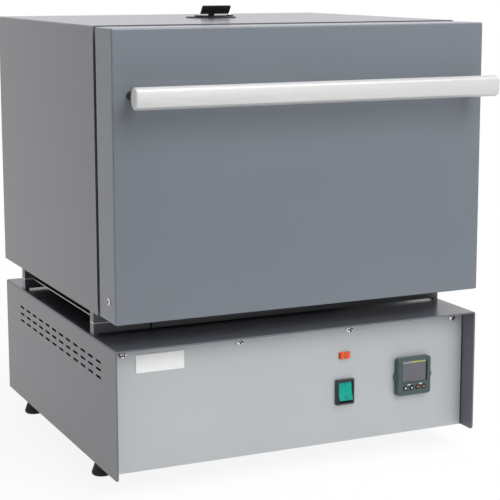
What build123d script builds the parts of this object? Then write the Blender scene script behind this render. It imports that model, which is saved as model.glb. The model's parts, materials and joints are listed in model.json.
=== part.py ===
from build123d import *

import os
from math import cos, radians, sin, tan

os.makedirs("parts", exist_ok=True)

# Driving dimensions of the enclosure, in millimetres
foot_height = 27.0
base_side_overhang = 1.5
base_height = 153.5
base_setback = 2.3
base_back_inset = 8.7
spacer_height = 29.0
case_width = 477.0
case_height = 334.0
case_depth = 394.0
door_side_overhang = 1.0
door_thickness = 53.0
door_gap = 12.0
door_edge_margin = 1.1
handle_reach = 52.5

# Sheet metal
sheet = 1.5
cover_sheet = 2.0
bend_radius = 2.5
case_flange = 16.0
cover_flange = 32.0
back_inset = 3.0
fit_clearance = 0.3
running_clearance = 0.05

# Chamber and insulation
chamber_width = 254.0
chamber_height = 165.0
collar_depth = 40.0
collar_wall = 20.0
collar_proud = 3.0
hearth_thickness = 12.0
rear_board_thickness = 55.0
rear_space = 35.5
jacket_gap = 6.0

# Heating elements, a serpentine coil in the grooves of each side plate
coil_passes = 6
coil_pitch = 24.0
coil_diameter = 9.0
coil_depth = 6.0
coil_end_margin = 16.0
coil_bend_margin = 0.24
coil_sides = 6
groove_width = 11.0
lead_diameter = 4.0
terminal_diameter = 16.0
terminal_height = 12.0
terminal_stud_length = 10.0
terminal_nut_radius = 5.6
terminal_nut_height = 4.0

# Thermocouple
sheath_diameter = 6.0
sheath_tip_radius = 2.8
sheath_reach = 45.0
sheath_height = 120.0
thermocouple_head_width = 38.0
thermocouple_head_height = 16.0
thermocouple_head_radius = 2.0
thermocouple_head_depth = 14.0

# Vent in the roof
vent_setback = 218.0
vent_tube_diameter = 26.0
vent_bore_diameter = 16.0
vent_ring_diameter = 66.0
vent_ring_thickness = 1.5
damper_diameter = 44.0
damper_thickness = 1.5
damper_pivot_distance = 26.0
damper_pivot_diameter = 4.0
damper_head_diameter = 8.0
damper_head_height = 2.2
damper_ear_diameter = 12.0
tab_width = 40.0
tab_length = 13.0
tab_lean = 38.0
tab_corner_radius = 1.5
tab_neck_width = 8.0
tab_neck_height = 4.0

# Door, its hinge and its plug
door_corner_radius = 2.0
pivot_from_front = 21.0
pivot_from_bottom = 24.0
arm_thickness = 4.0
arm_height = 24.0
arm_reach_in_case = 48.0
pin_diameter = 6.0
pin_head_diameter = 8.5
pin_head_height = 2.0
pin_tip = 1.0
channel_clearance = 1.0
door_channel = 7.0
plug_flange_overlap = 6.0
plug_seat_gap = 0.5
plug_clearance = 5.0
plug_intrusion = 20.0
plug_taper = 12.0

# Handle
handle_end_inset = 8.5
handle_from_top = 73.6
handle_height = 25.0
handle_bar_depth = 18.0
handle_bevel = 3.5
standoff_from_side = 22.0
standoff_diameter = 11.0
handle_stud_diameter = 5.0
handle_stud_length = 9.0
stud_nut_radius = 6.0
stud_nut_height = 3.0

# Door switch at the upper right of the mouth
door_switch_side_inset = 47.0
striker_clearance = 2.0
door_switch_width = 22.0
door_switch_height = 12.0
door_switch_depth = 28.0
plunger_diameter = 5.0
plunger_tip_bevel = 1.0
plunger_travel = 3.0
plunger_overtravel = 1.0
plunger_seat = 10.0
striker_size = 24.0
striker_corner_radius = 2.0
striker_thickness = 3.0

# Spacer rails and heat shield between case and base
rail_depth = 12.5
rail_end_inset = 2.0
front_rail_setback = 87.0
rear_rail_inset = 66.3
rail_pad_length = 6.0
rail_relief = 1.8
rail_slit_from_end = 71.0
rail_slit_width = 2.5
shield_thickness = 1.0
shield_side_inset = 13.0

# Base: front panel and its screws
panel_recess = 26.4
panel_thickness = 2.0
panel_screw_count = 4
panel_screw_inset = 18.0
panel_screw_drop = 10.8
panel_screw_head_diameter = 9.6
panel_screw_head_height = 3.0
screw_head_diameter = 7.0
screw_head_height = 2.2
screw_shank_diameter = 4.0
screw_shank_length = 8.0
cover_tip_radius = 4.0
badge_width = 60.0
badge_height = 21.5
badge_thickness = 0.8
badge_corner_radius = 1.0
badge_side_inset = 32.0
badge_drop = 24.3

# Vent slots in the sides of the base cover
slot_columns = 12
slot_rows = 3
slot_row_pitch = 9.3
slot_length = 18.0
slot_height = 3.0
slot_corner_cut = 1.0
slot_first_setback = 62.0
slot_last_inset = 75.35
slot_first_drop = 24.6

# Controller, placed from the right side of the base and the middle of the panel
controller_side_inset = 77.0
controller_below_middle = 2.55
controller_size = 48.0
controller_proud = 9.0
controller_corner_radius = 3.5
controller_edge_bevel = 1.2
controller_body_size = 45.0
controller_body_length = 90.0
window_width = 35.4
window_height = 27.6
window_corner_radius = 1.0
window_shift = 0.5
window_rise = 6.5
window_depth = 2.2
display_thickness = 1.0
key_count = 4
key_pitch = 8.9
key_drop = 14.2
key_diameter = 5.8
key_proud = 0.6
key_travel = 0.8
key_crown = 0.4
latch_ear_height = 10.0
latch_ear_proud = 2.2
latch_ear_root = 2.0
latch_ear_setback = 2.5

# Power switch, placed from the controller and the middle of the panel
switch_from_controller = 96.0
switch_below_middle = 12.75
switch_width = 25.0
switch_height = 31.5
switch_corner_radius = 1.0
switch_edge_bevel = 0.8
switch_bezel_proud = 5.0
switch_wall = 3.0
switch_body_depth = 22.0
switch_body_inset = 1.5
rocker_height = 23.0
rocker_end_rise = 6.4
rocker_end_bevel = 0.8
rocker_valley_rise = 5.2
rocker_back = 3.0
rocker_pivot_depth = 1.0
rocker_tilt = 11.0
rocker_pin_diameter = 3.0
rocker_pin_length = 1.2
switch_cavity_depth = 9.0

# Pilot lamp
lamp_above_switch = 46.0
lamp_width = 15.5
lamp_height = 8.3
lamp_proud = 4.0
lamp_bevel = 2.0
lamp_body_width = 12.0
lamp_body_height = 6.0
lamp_body_length = 22.0

# Feet
foot_top_radius = 8.0
foot_waist_radius = 8.6
foot_waist_height = 15.0
foot_base_radius = 12.5
foot_rim_height = 4.0
foot_chamfer = 1.5
foot_side_inset = 20.0
foot_front_setback = 112.0
foot_rear_setback = 50.0
foot_recess_radius = 5.0
foot_recess_depth = 12.0
foot_screw_head_width = 8.0
foot_screw_head_height = 3.0

# Rear of the base and what stands on its floor
inlet_side_inset = 70.0
inlet_rise = 45.0
inlet_flange_width = 58.0
inlet_flange_height = 30.0
inlet_flange_thickness = 3.0
inlet_flange_corner_radius = 3.0
inlet_body_width = 40.0
inlet_body_height = 26.0
inlet_body_depth = 30.0
inlet_cavity_width = 34.0
inlet_cavity_height = 20.0
inlet_cavity_corner_radius = 2.0
inlet_cavity_depth = 20.0
blade_width = 2.0
blade_height = 8.0
blade_length = 16.0
blade_pitch = 13.0
blade_drop = 4.0
louvre_count = 6
louvre_pitch = 12.0
louvre_length = 70.0
louvre_height = 4.0
louvre_corner_cut = 1.3
case_louvre_spread = 260.0
case_louvre_drop = 45.0
base_louvre_side_inset = 150.0
rear_screw_inset = 12.0
relay_from_louvres = 30.0
relay_from_rear_panel = 122.55
relay_width = 45.0
relay_length = 58.0
relay_height = 24.0
relay_corner_radius = 2.0
sink_width = 90.0
sink_length = 100.0
sink_plate = 6.0
fin_count = 8
fin_height = 26.0
fin_thickness = 2.0

# Planes and levels worked out from the driving dimensions
overall_depth = handle_reach + door_thickness + door_gap + case_depth
door_width = case_width + 2 * door_side_overhang
base_width = case_width + 2 * base_side_overhang
door_front_y = -overall_depth / 2 + handle_reach
door_back_y = door_front_y + door_thickness
case_front_y = door_back_y + door_gap
case_back_y = case_front_y + case_depth
base_front_y = door_front_y + base_setback
base_back_y = case_back_y - base_back_inset
base_depth = base_back_y - base_front_y
base_bottom_z = foot_height
base_top_z = base_bottom_z + base_height
case_bottom_z = base_top_z + spacer_height
case_top_z = case_bottom_z + case_height
door_height = case_height - 2 * door_edge_margin
door_bottom_z = case_bottom_z + door_edge_margin
door_top_z = case_top_z - door_edge_margin

case_inner_x = case_width / 2 - sheet
case_inner_bottom_z = case_bottom_z + sheet
case_inner_top_z = case_top_z - sheet
frame_back_y = case_front_y + sheet
case_floor_top_z = case_inner_bottom_z + sheet
case_panel_back_y = case_back_y - back_inset
case_panel_front_y = case_panel_back_y - sheet

board_x = case_inner_x - jacket_gap
floor_board_thickness = (case_inner_top_z - case_floor_top_z - hearth_thickness - chamber_height) / 2
hearth_bottom_z = case_floor_top_z + floor_board_thickness
chamber_floor_z = hearth_bottom_z + hearth_thickness
chamber_top_z = chamber_floor_z + chamber_height
chamber_middle_z = (chamber_floor_z + chamber_top_z) / 2
chamber_x = chamber_width / 2
collar_front_y = case_front_y - collar_proud
collar_back_y = collar_front_y + collar_depth
boards_back_y = case_panel_front_y - rear_space
chamber_back_y = boards_back_y - rear_board_thickness
plate_outer_x = chamber_x + collar_wall
coil_bend_radius = coil_pitch / 2 - coil_bend_margin
coil_x = chamber_x + coil_depth
coil_front_y = collar_back_y + coil_end_margin
coil_back_y = chamber_back_y - coil_end_margin
coil_bottom_z = chamber_middle_z - (coil_passes - 1) * coil_pitch / 2
coil_top_z = chamber_middle_z + (coil_passes - 1) * coil_pitch / 2

base_inner_x = base_width / 2 - cover_sheet
base_inner_top_z = base_top_z - cover_sheet
base_middle_z = (base_bottom_z + base_top_z) / 2
panel_front_y = base_front_y + panel_recess
panel_back_y = panel_front_y + panel_thickness
base_floor_bottom_z = base_bottom_z + cover_sheet
base_floor_top_z = base_floor_bottom_z + cover_sheet
rear_panel_back_y = base_back_y - back_inset
rear_panel_front_y = rear_panel_back_y - sheet

pivot_y = door_front_y + pivot_from_front
pivot_z = door_bottom_z + pivot_from_bottom
door_inner_x = door_width / 2 - sheet
door_inner_y = door_front_y + sheet
door_plate_front_y = door_back_y - sheet
vent_y = case_front_y + vent_setback


def facing_front(y):
    """Sketch plane at depth y, read as seen from the front: x right, y up."""
    return Plane.XZ.offset(-y)


def block(x, y, z, mode=Mode.ADD):
    """Rectangular block between the limits (low, high) along each axis."""
    with Locations(((x[0] + x[1]) / 2, (y[0] + y[1]) / 2, (z[0] + z[1]) / 2)):
        Box(x[1] - x[0], y[1] - y[0], z[1] - z[0], mode=mode)


def mirrored_spans(inner, outer):
    """The same span of x on the left and on the right."""
    return ((-outer, -inner), (inner, outer))


def wrap_section(width, bottom_z, top_z, thickness, flange):
    """Section of a sheet folded over the top and both sides, with a return flange under each side."""
    with Locations((0, (bottom_z + top_z) / 2)):
        Rectangle(width, top_z - bottom_z)
    fillet(vertices().group_by(Axis.Y)[-1], bend_radius)
    with Locations((0, (bottom_z + top_z) / 2)):
        Rectangle(width - 2 * thickness, top_z - bottom_z - 2 * thickness, mode=Mode.SUBTRACT)
    with Locations((0, bottom_z)):
        Rectangle(width - 2 * flange, 2 * thickness, mode=Mode.SUBTRACT)


def pan_head_screw(plane, head_diameter, head_height, shank_diameter, shank_length):
    """Screw with a bevelled head; the plane's origin is under the head and its z axis points out of it."""
    with Locations(plane):
        Cylinder(head_diameter / 2, head_height, align=(Align.CENTER, Align.CENTER, Align.MIN))
    rim = edges(Select.LAST).filter_by(GeomType.CIRCLE).sort_by(Axis(plane.origin, plane.z_dir))[-1]
    chamfer(rim, head_height / 2)
    with Locations(plane):
        Cylinder(shank_diameter / 2, shank_length, align=(Align.CENTER, Align.CENTER, Align.MAX))


def hexagon_screw(plane, head_width, head_height, shank_diameter, shank_length):
    """Screw with a hexagon head; the plane's origin is under the head and its z axis points out of it."""
    slab_length = head_width * tan(radians(30))
    with Locations(plane):
        for turn in (0, 60, 120):
            Box(head_width, slab_length, head_height, rotation=(0, 0, turn),
                align=(Align.CENTER, Align.CENTER, Align.MIN))
    with Locations(plane):
        Cylinder(shank_diameter / 2, shank_length, align=(Align.CENTER, Align.CENTER, Align.MAX))


def slot_outline(length, height, corner_cut, mode=Mode.ADD):
    """Punched slot with bevelled corners, for the sketch that is being drawn."""
    end = length / 2
    side = height / 2
    Polygon(
        (-end, corner_cut - side),
        (corner_cut - end, -side),
        (end - corner_cut, -side),
        (end, corner_cut - side),
        (end, side - corner_cut),
        (end - corner_cut, side),
        (corner_cut - end, side),
        (-end, side - corner_cut),
        mode=mode,
    )


def finish(builder, label):
    """Name a finished piece and write it."""
    builder.part.label = label
    export_step(builder.part, f"parts/{label}.step")


# Case: the painted shell, folded over the top and both sides
with BuildPart() as case_shell:
    with BuildSketch(facing_front(case_front_y)):
        wrap_section(case_width, case_bottom_z, case_top_z, sheet, case_flange)
    extrude(amount=-case_depth)
    with Locations((0, vent_y, case_top_z)):
        Hole(vent_tube_diameter / 2, depth=2 * sheet)
finish(case_shell, "case_shell")

# Case floor, resting on the shell's return flanges
with BuildPart() as case_floor:
    block((-case_inner_x, case_inner_x), (frame_back_y, case_panel_front_y),
          (case_inner_bottom_z, case_floor_top_z))
finish(case_floor, "case_floor")

# Front frame of the case, round the mouth of the chamber
mouth_width = chamber_width + 2 * collar_wall
mouth_height = chamber_height + 2 * collar_wall
door_switch_x = case_inner_x - door_switch_side_inset
striker_bottom_z = chamber_middle_z + mouth_height / 2 + plug_flange_overlap + striker_clearance
door_switch_z = striker_bottom_z + striker_size / 2
with BuildPart() as case_front_frame:
    with BuildSketch(facing_front(case_front_y)):
        with Locations((0, (case_inner_bottom_z + case_inner_top_z) / 2)):
            Rectangle(2 * case_inner_x, case_inner_top_z - case_inner_bottom_z)
        with Locations((0, chamber_middle_z)):
            Rectangle(mouth_width, mouth_height, mode=Mode.SUBTRACT)
        with Locations((case_inner_x, pivot_z), (-case_inner_x, pivot_z)):
            Rectangle(2 * arm_thickness, arm_height, mode=Mode.SUBTRACT)
        with Locations((door_switch_x, door_switch_z)):
            Circle(plunger_diameter / 2 + fit_clearance, mode=Mode.SUBTRACT)
    extrude(amount=-sheet)
finish(case_front_frame, "case_front_frame")

# Rear panel of the case, with four groups of louvre slots and a screw in each corner
case_screw_places = [
    (side * (case_inner_x - rear_screw_inset), screw_z)
    for side in (-1, 1)
    for screw_z in (case_inner_top_z - rear_screw_inset, case_inner_bottom_z + rear_screw_inset)
]
with BuildPart() as case_back_panel:
    with BuildSketch(facing_front(case_panel_front_y)):
        with Locations((0, (case_inner_bottom_z + case_inner_top_z) / 2)):
            Rectangle(2 * case_inner_x, case_inner_top_z - case_inner_bottom_z)
        with Locations(
            (-case_louvre_spread / 2, case_inner_top_z - case_louvre_drop),
            (case_louvre_spread / 2, case_inner_top_z - case_louvre_drop),
            (-case_louvre_spread / 2, case_inner_bottom_z + case_louvre_drop),
            (case_louvre_spread / 2, case_inner_bottom_z + case_louvre_drop),
        ):
            with GridLocations(0, louvre_pitch, 1, louvre_count):
                slot_outline(louvre_length, louvre_height, louvre_corner_cut, mode=Mode.SUBTRACT)
        with Locations(*case_screw_places):
            Circle(screw_shank_diameter / 2, mode=Mode.SUBTRACT)
    extrude(amount=-sheet)
finish(case_back_panel, "case_back_panel")

# Throat collar, a hard ceramic ring that lines the mouth
with BuildPart() as throat_collar:
    with BuildSketch(facing_front(collar_front_y)):
        with Locations((0, chamber_middle_z)):
            Rectangle(mouth_width, mouth_height)
            Rectangle(chamber_width, chamber_height, mode=Mode.SUBTRACT)
    extrude(amount=-collar_depth)
    chamfer(faces().sort_by(Axis.Y)[0].inner_wires()[0].edges(), plug_clearance / 2)
finish(throat_collar, "throat_collar")

# Floor board, with a pocket for the collar's sill
mouth_bottom_z = chamber_floor_z - collar_wall
mouth_top_z = chamber_top_z + collar_wall
with BuildPart() as insulation_floor:
    block((-board_x, board_x), (frame_back_y, boards_back_y), (case_floor_top_z, hearth_bottom_z))
    block((-mouth_width / 2, mouth_width / 2), (frame_back_y, collar_back_y),
          (mouth_bottom_z, hearth_bottom_z), mode=Mode.SUBTRACT)
finish(insulation_floor, "insulation_floor")

# Roof board, with the collar's pocket, the vent tube's bore and a notch for the door switch
door_switch_span_x = (door_switch_x - door_switch_width / 2, door_switch_x + door_switch_width / 2)
door_switch_span_y = (frame_back_y, frame_back_y + door_switch_depth)
door_switch_span_z = (door_switch_z - door_switch_height / 2, door_switch_z + door_switch_height / 2)
with BuildPart() as insulation_roof:
    block((-board_x, board_x), (frame_back_y, boards_back_y), (chamber_top_z, case_inner_top_z))
    block((-mouth_width / 2, mouth_width / 2), (frame_back_y, collar_back_y), (chamber_top_z, mouth_top_z),
          mode=Mode.SUBTRACT)
    block(door_switch_span_x, door_switch_span_y, door_switch_span_z, mode=Mode.SUBTRACT)
    with Locations((0, vent_y, case_inner_top_z)):
        Hole(vent_tube_diameter / 2, depth=case_inner_top_z - chamber_top_z)
finish(insulation_roof, "insulation_roof")

# Side boards and the heater plates that they back
for side, label in ((-1, "left"), (1, "right")):
    near, far = sorted((side * plate_outer_x, side * board_x))
    with BuildPart() as insulation_side:
        block((near, far), (frame_back_y, chamber_back_y), (hearth_bottom_z, chamber_top_z))
    finish(insulation_side, f"insulation_{label}")

    coil_rows = [coil_bottom_z + row * coil_pitch for row in range(coil_passes)]
    coil_points = []
    for row, row_z in enumerate(coil_rows):
        ends = (coil_back_y, coil_front_y) if row % 2 == 0 else (coil_front_y, coil_back_y)
        coil_points += [(ends[0], row_z), (ends[1], row_z)]
    element_plane = Plane(origin=(side * coil_x, 0, 0), x_dir=(0, 1, 0), z_dir=(1, 0, 0))
    face_plane = Plane(origin=(side * chamber_x, 0, 0), x_dir=(0, 1, 0), z_dir=(1, 0, 0))

    with BuildPart() as heater_plate:
        block(sorted((side * chamber_x, side * plate_outer_x)), (collar_back_y, chamber_back_y),
              (hearth_bottom_z, chamber_top_z))
        with BuildSketch(face_plane):
            with BuildLine():
                FilletPolyline(*coil_points, radius=coil_bend_radius)
            trace(line_width=groove_width)
        extrude(amount=side * (coil_depth + groove_width / 2), mode=Mode.SUBTRACT)
        lead_rows = [(coil_back_y, coil_rows[0]), (coil_back_y, coil_rows[-1])]
        for lead_y, lead_z in lead_rows:
            block(sorted((side * (coil_x - lead_diameter / 2), side * (coil_x + lead_diameter / 2))),
                  (lead_y, chamber_back_y), (lead_z - lead_diameter / 2, lead_z + lead_diameter / 2),
                  mode=Mode.SUBTRACT)
    finish(heater_plate, f"heater_plate_{label}")

    with BuildPart() as heating_coil:
        with BuildLine(element_plane):
            coil_path = FilletPolyline(*coil_points, radius=coil_bend_radius)
        with BuildSketch(Plane(origin=coil_path @ 0, z_dir=coil_path % 0)):
            RegularPolygon(coil_diameter / 2, coil_sides)
        sweep(path=coil_path)
        for lead_y, lead_z in lead_rows:
            lead_plane = Plane(origin=(side * coil_x, lead_y, lead_z), x_dir=(1, 0, 0), z_dir=(0, 1, 0))
            with BuildSketch(lead_plane):
                Circle(lead_diameter / 2)
            extrude(amount=boards_back_y + terminal_height + terminal_stud_length - lead_y)
    finish(heating_coil, f"heating_coil_{label}")

lead_places = [(side * coil_x, row_z) for side in (-1, 1) for row_z in (coil_bottom_z, coil_top_z)]

# Rear board, bored for the element leads and the thermocouple
thermocouple_z = chamber_floor_z + sheath_height
with BuildPart() as insulation_rear:
    block((-board_x, board_x), (chamber_back_y, boards_back_y), (hearth_bottom_z, chamber_top_z))
    with BuildSketch(facing_front(boards_back_y)):
        with Locations(*lead_places):
            Circle(lead_diameter / 2)
        with Locations((0, thermocouple_z)):
            Circle(sheath_diameter / 2)
    extrude(amount=rear_board_thickness, mode=Mode.SUBTRACT)
finish(insulation_rear, "insulation_rear")

# Hearth plate on the chamber floor
with BuildPart() as hearth_plate:
    block((-chamber_x, chamber_x), (collar_back_y, chamber_back_y), (hearth_bottom_z, chamber_floor_z))
finish(hearth_plate, "hearth_plate")

# Ceramic terminal posts of the elements, one on each lead
with BuildPart() as element_terminals:
    with BuildSketch(facing_front(boards_back_y)):
        with Locations(*lead_places):
            Circle(terminal_diameter / 2)
    extrude(amount=-terminal_height)
    with BuildSketch(facing_front(boards_back_y + terminal_height)):
        with Locations(*lead_places):
            RegularPolygon(terminal_nut_radius, 6)
    extrude(amount=-terminal_nut_height)
    with BuildSketch(facing_front(boards_back_y)):
        with Locations(*lead_places):
            Circle(lead_diameter / 2)
    extrude(amount=-(terminal_height + terminal_nut_height), mode=Mode.SUBTRACT)
finish(element_terminals, "element_terminals")

# Thermocouple: a sheath through the rear board and its connection head
with BuildPart() as thermocouple:
    with BuildSketch(facing_front(chamber_back_y - sheath_reach)):
        with Locations((0, thermocouple_z)):
            Circle(sheath_diameter / 2)
    extrude(amount=-(sheath_reach + rear_board_thickness))
    fillet(edges().sort_by(Axis.Y)[0], sheath_tip_radius)
    with BuildSketch(facing_front(boards_back_y)):
        with Locations((0, thermocouple_z)):
            RectangleRounded(thermocouple_head_width, thermocouple_head_height, thermocouple_head_radius)
    extrude(amount=-thermocouple_head_depth)
finish(thermocouple, "thermocouple")

# Vent: ceramic tube through the roof, and the ring on top of the shell
with BuildPart() as vent_tube:
    with BuildSketch(Plane.XY.offset(chamber_top_z)):
        with Locations((0, vent_y)):
            Circle(vent_tube_diameter / 2)
            Circle(vent_bore_diameter / 2, mode=Mode.SUBTRACT)
    extrude(amount=case_top_z - chamber_top_z)
finish(vent_tube, "vent_tube")

vent_ring_top_z = case_top_z + vent_ring_thickness
damper_bottom_z = vent_ring_top_z + fit_clearance
damper_top_z = damper_bottom_z + damper_thickness
damper_pivot_x = damper_pivot_distance
damper_pivot_y = vent_y
with BuildPart() as vent_ring:
    with BuildSketch(Plane.XY.offset(case_top_z)):
        with Locations((0, vent_y)):
            Circle(vent_ring_diameter / 2)
            Circle(vent_bore_diameter / 2, mode=Mode.SUBTRACT)
        with Locations((damper_pivot_x, damper_pivot_y)):
            Circle(damper_pivot_diameter / 2, mode=Mode.SUBTRACT)
    extrude(amount=vent_ring_thickness)
finish(vent_ring, "vent_ring")

# Shoulder screw that the damper swings on
pivot_head_z = damper_top_z + fit_clearance
with BuildPart() as vent_pivot:
    pan_head_screw(Plane(origin=(damper_pivot_x, damper_pivot_y, pivot_head_z), z_dir=(0, 0, 1)),
                   damper_head_diameter, damper_head_height, damper_pivot_diameter, pivot_head_z - case_top_z)
finish(vent_pivot, "vent_pivot")

# Damper: a disc with a pivot ear and an upturned tab on a narrow neck
tab_root = damper_thickness / 4
tab_x = -tab_neck_width
tab_y = vent_y - damper_diameter / 2 + tab_neck_width / 2
with BuildPart() as vent_damper:
    with BuildSketch(Plane.XY.offset(damper_bottom_z)):
        with Locations((0, vent_y)):
            Circle(damper_diameter / 2)
        with Locations((damper_pivot_x, damper_pivot_y)):
            Circle(damper_ear_diameter / 2)
            Circle(damper_pivot_diameter / 2 + running_clearance, mode=Mode.SUBTRACT)
    extrude(amount=damper_thickness)
    tab_plane = Plane(origin=(tab_x, tab_y, damper_top_z), x_dir=(1, 0, 0),
                      z_dir=(0, -cos(radians(tab_lean)), -sin(radians(tab_lean))))
    with BuildSketch(tab_plane):
        with Locations((0, tab_neck_height / 2 - tab_root / 2)):
            Rectangle(tab_neck_width, tab_neck_height + tab_root)
        with Locations((tab_neck_width / 2, tab_neck_height + tab_length / 2)):
            Rectangle(tab_width, tab_length)
            fillet(vertices().group_by(Axis.Y)[-1], tab_corner_radius)
    extrude(amount=damper_thickness)
finish(vent_damper, "vent_damper")

# Hinge arms, fixed inside the shell and reaching into the door
with BuildPart() as hinge_arms:
    for low_x, high_x in mirrored_spans(case_inner_x - arm_thickness, case_inner_x):
        with BuildSketch(Plane.YZ.offset(low_x)):
            with Locations((pivot_y, pivot_z)):
                Circle(arm_height / 2)
            with Locations(((pivot_y + case_front_y + arm_reach_in_case) / 2, pivot_z)):
                Rectangle(case_front_y + arm_reach_in_case - pivot_y, arm_height)
            with Locations((pivot_y, pivot_z)):
                Circle(pin_diameter / 2 + running_clearance, mode=Mode.SUBTRACT)
        extrude(amount=high_x - low_x)
finish(hinge_arms, "hinge_arms")

# Door skin: a folded box, open to the rear, notched at its lower corners for the arms
channel_x = case_inner_x - arm_thickness - channel_clearance
arm_notch_z = pivot_z + arm_height / 2 + fit_clearance
arm_notch_y = pivot_y - arm_height / 2 - fit_clearance
handle_z = door_top_z - handle_from_top
standoff_x = door_width / 2 - standoff_from_side
with BuildPart() as door_skin:
    block((-door_width / 2, door_width / 2), (door_front_y, door_back_y), (door_bottom_z, door_top_z))
    fillet(edges().filter_by(Axis.Y) + faces().sort_by(Axis.Y)[0].edges(), door_corner_radius)
    offset(amount=-sheet, openings=faces().sort_by(Axis.Y)[-1])
    for low_x, high_x in mirrored_spans(channel_x, door_inner_x):
        block((low_x, high_x), (arm_notch_y, door_back_y), (door_bottom_z - sheet, door_bottom_z + 2 * sheet),
              mode=Mode.SUBTRACT)
    with BuildSketch(Plane.YZ.offset(-door_width / 2)):
        with Locations((pivot_y, pivot_z)):
            Circle(pin_diameter / 2)
    extrude(amount=door_width, mode=Mode.SUBTRACT)
    with BuildSketch(facing_front(door_front_y)):
        with Locations((standoff_x, handle_z), (-standoff_x, handle_z)):
            Circle(handle_stud_diameter / 2)
    extrude(amount=-2 * sheet, mode=Mode.SUBTRACT)
finish(door_skin, "door_skin")

# Door inner plate, round the plug's flange
plug_flange_width = mouth_width + 2 * plug_flange_overlap
plug_flange_height = mouth_height + 2 * plug_flange_overlap
with BuildPart() as door_inner_plate:
    with BuildSketch(facing_front(door_plate_front_y)):
        with Locations((0, (door_bottom_z + door_top_z) / 2)):
            Rectangle(2 * door_inner_x, door_height - 2 * sheet)
            fillet(vertices().group_by(Axis.Y)[-1], door_corner_radius - sheet)
        with Locations((0, chamber_middle_z)):
            Rectangle(plug_flange_width, plug_flange_height, mode=Mode.SUBTRACT)
        for low_x, high_x in mirrored_spans(channel_x, door_inner_x):
            with Locations(((low_x + high_x) / 2, (door_bottom_z + arm_notch_z) / 2)):
                Rectangle(high_x - low_x, arm_notch_z - door_bottom_z, mode=Mode.SUBTRACT)
    extrude(amount=-sheet)
finish(door_inner_plate, "door_inner_plate")

# Insulation inside the door, clear of the arms' channels and of the handle's nuts
door_board_x = door_inner_x - door_channel
with BuildPart() as door_insulation:
    block((-door_board_x, door_board_x), (door_inner_y, door_plate_front_y),
          (door_bottom_z + sheet, door_top_z - sheet))
    fillet(edges().filter_by(Axis.X).group_by(Axis.Y)[0], door_corner_radius - sheet)
    with BuildSketch(facing_front(door_inner_y)):
        with Locations((standoff_x, handle_z), (-standoff_x, handle_z)):
            Circle(stud_nut_radius)
    extrude(amount=-handle_stud_length, mode=Mode.SUBTRACT)
finish(door_insulation, "door_insulation")

# Door plug: a flange that meets the collar's face and a tapered block that enters the throat
plug_flange_back_y = collar_front_y - plug_seat_gap
with BuildPart() as door_plug:
    with BuildSketch(facing_front(door_plate_front_y)):
        with Locations((0, chamber_middle_z)):
            Rectangle(plug_flange_width, plug_flange_height)
    extrude(amount=-(plug_flange_back_y - door_plate_front_y))
    plug_plane = Plane(origin=(0, plug_flange_back_y, chamber_middle_z), x_dir=(-1, 0, 0), z_dir=(0, 1, 0))
    with BuildSketch(plug_plane):
        Rectangle(chamber_width - 2 * plug_clearance, chamber_height - 2 * plug_clearance)
    extrude(amount=plug_intrusion, taper=plug_taper)
finish(door_plug, "door_plug")

# Hinge pins: shoulder screws through the door's sides into the arms
with BuildPart() as hinge_pins:
    for side in (-1, 1):
        pan_head_screw(Plane(origin=(side * door_width / 2, pivot_y, pivot_z), z_dir=(side, 0, 0)),
                       pin_head_diameter, pin_head_height, pin_diameter,
                       door_width / 2 - (case_inner_x - arm_thickness - pin_tip))
finish(hinge_pins, "hinge_pins")

# Striker pad on the door, in line with the switch plunger
with BuildPart() as door_striker:
    with BuildSketch(facing_front(door_back_y)):
        with Locations((door_switch_x, door_switch_z)):
            RectangleRounded(striker_size, striker_size, striker_corner_radius)
    extrude(amount=-striker_thickness)
finish(door_striker, "door_striker")

# Handle: a flat-faced bar with bevelled edges and a rounded back
bar_front_y = door_front_y - handle_reach
bar_back_y = bar_front_y + handle_bar_depth
handle_length = door_width - 2 * handle_end_inset
with BuildPart() as handle_bar:
    with BuildSketch(Plane.YZ.offset(-handle_length / 2)):
        with BuildLine():
            Polyline(
                (bar_front_y + handle_bevel * 2, handle_z + handle_height / 2),
                (bar_front_y, handle_z + handle_height / 2 - handle_bevel),
                (bar_front_y, handle_z - handle_height / 2 + handle_bevel),
                (bar_front_y + handle_bevel * 2, handle_z - handle_height / 2),
            )
            ThreePointArc(
                (bar_front_y + handle_bevel * 2, handle_z - handle_height / 2),
                (bar_back_y, handle_z),
                (bar_front_y + handle_bevel * 2, handle_z + handle_height / 2),
            )
        make_face()
    extrude(amount=handle_length)
    with BuildSketch(facing_front(bar_back_y)):
        with Locations((standoff_x, handle_z), (-standoff_x, handle_z)):
            Circle(standoff_diameter / 2)
    extrude(amount=handle_bevel, mode=Mode.SUBTRACT)
finish(handle_bar, "handle_bar")

# Standoffs: round posts with a stud through the door skin and its nut
with BuildPart() as handle_standoffs:
    with BuildSketch(facing_front(door_front_y)):
        with Locations((standoff_x, handle_z), (-standoff_x, handle_z)):
            Circle(standoff_diameter / 2)
    extrude(amount=door_front_y - bar_back_y + handle_bevel)
    with BuildSketch(facing_front(door_front_y)):
        with Locations((standoff_x, handle_z), (-standoff_x, handle_z)):
            Circle(handle_stud_diameter / 2)
    extrude(amount=-(sheet + handle_stud_length))
    with BuildSketch(facing_front(door_inner_y)):
        with Locations((standoff_x, handle_z), (-standoff_x, handle_z)):
            RegularPolygon(stud_nut_radius, 6)
    extrude(amount=-stud_nut_height)
finish(handle_standoffs, "handle_standoffs")

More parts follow.
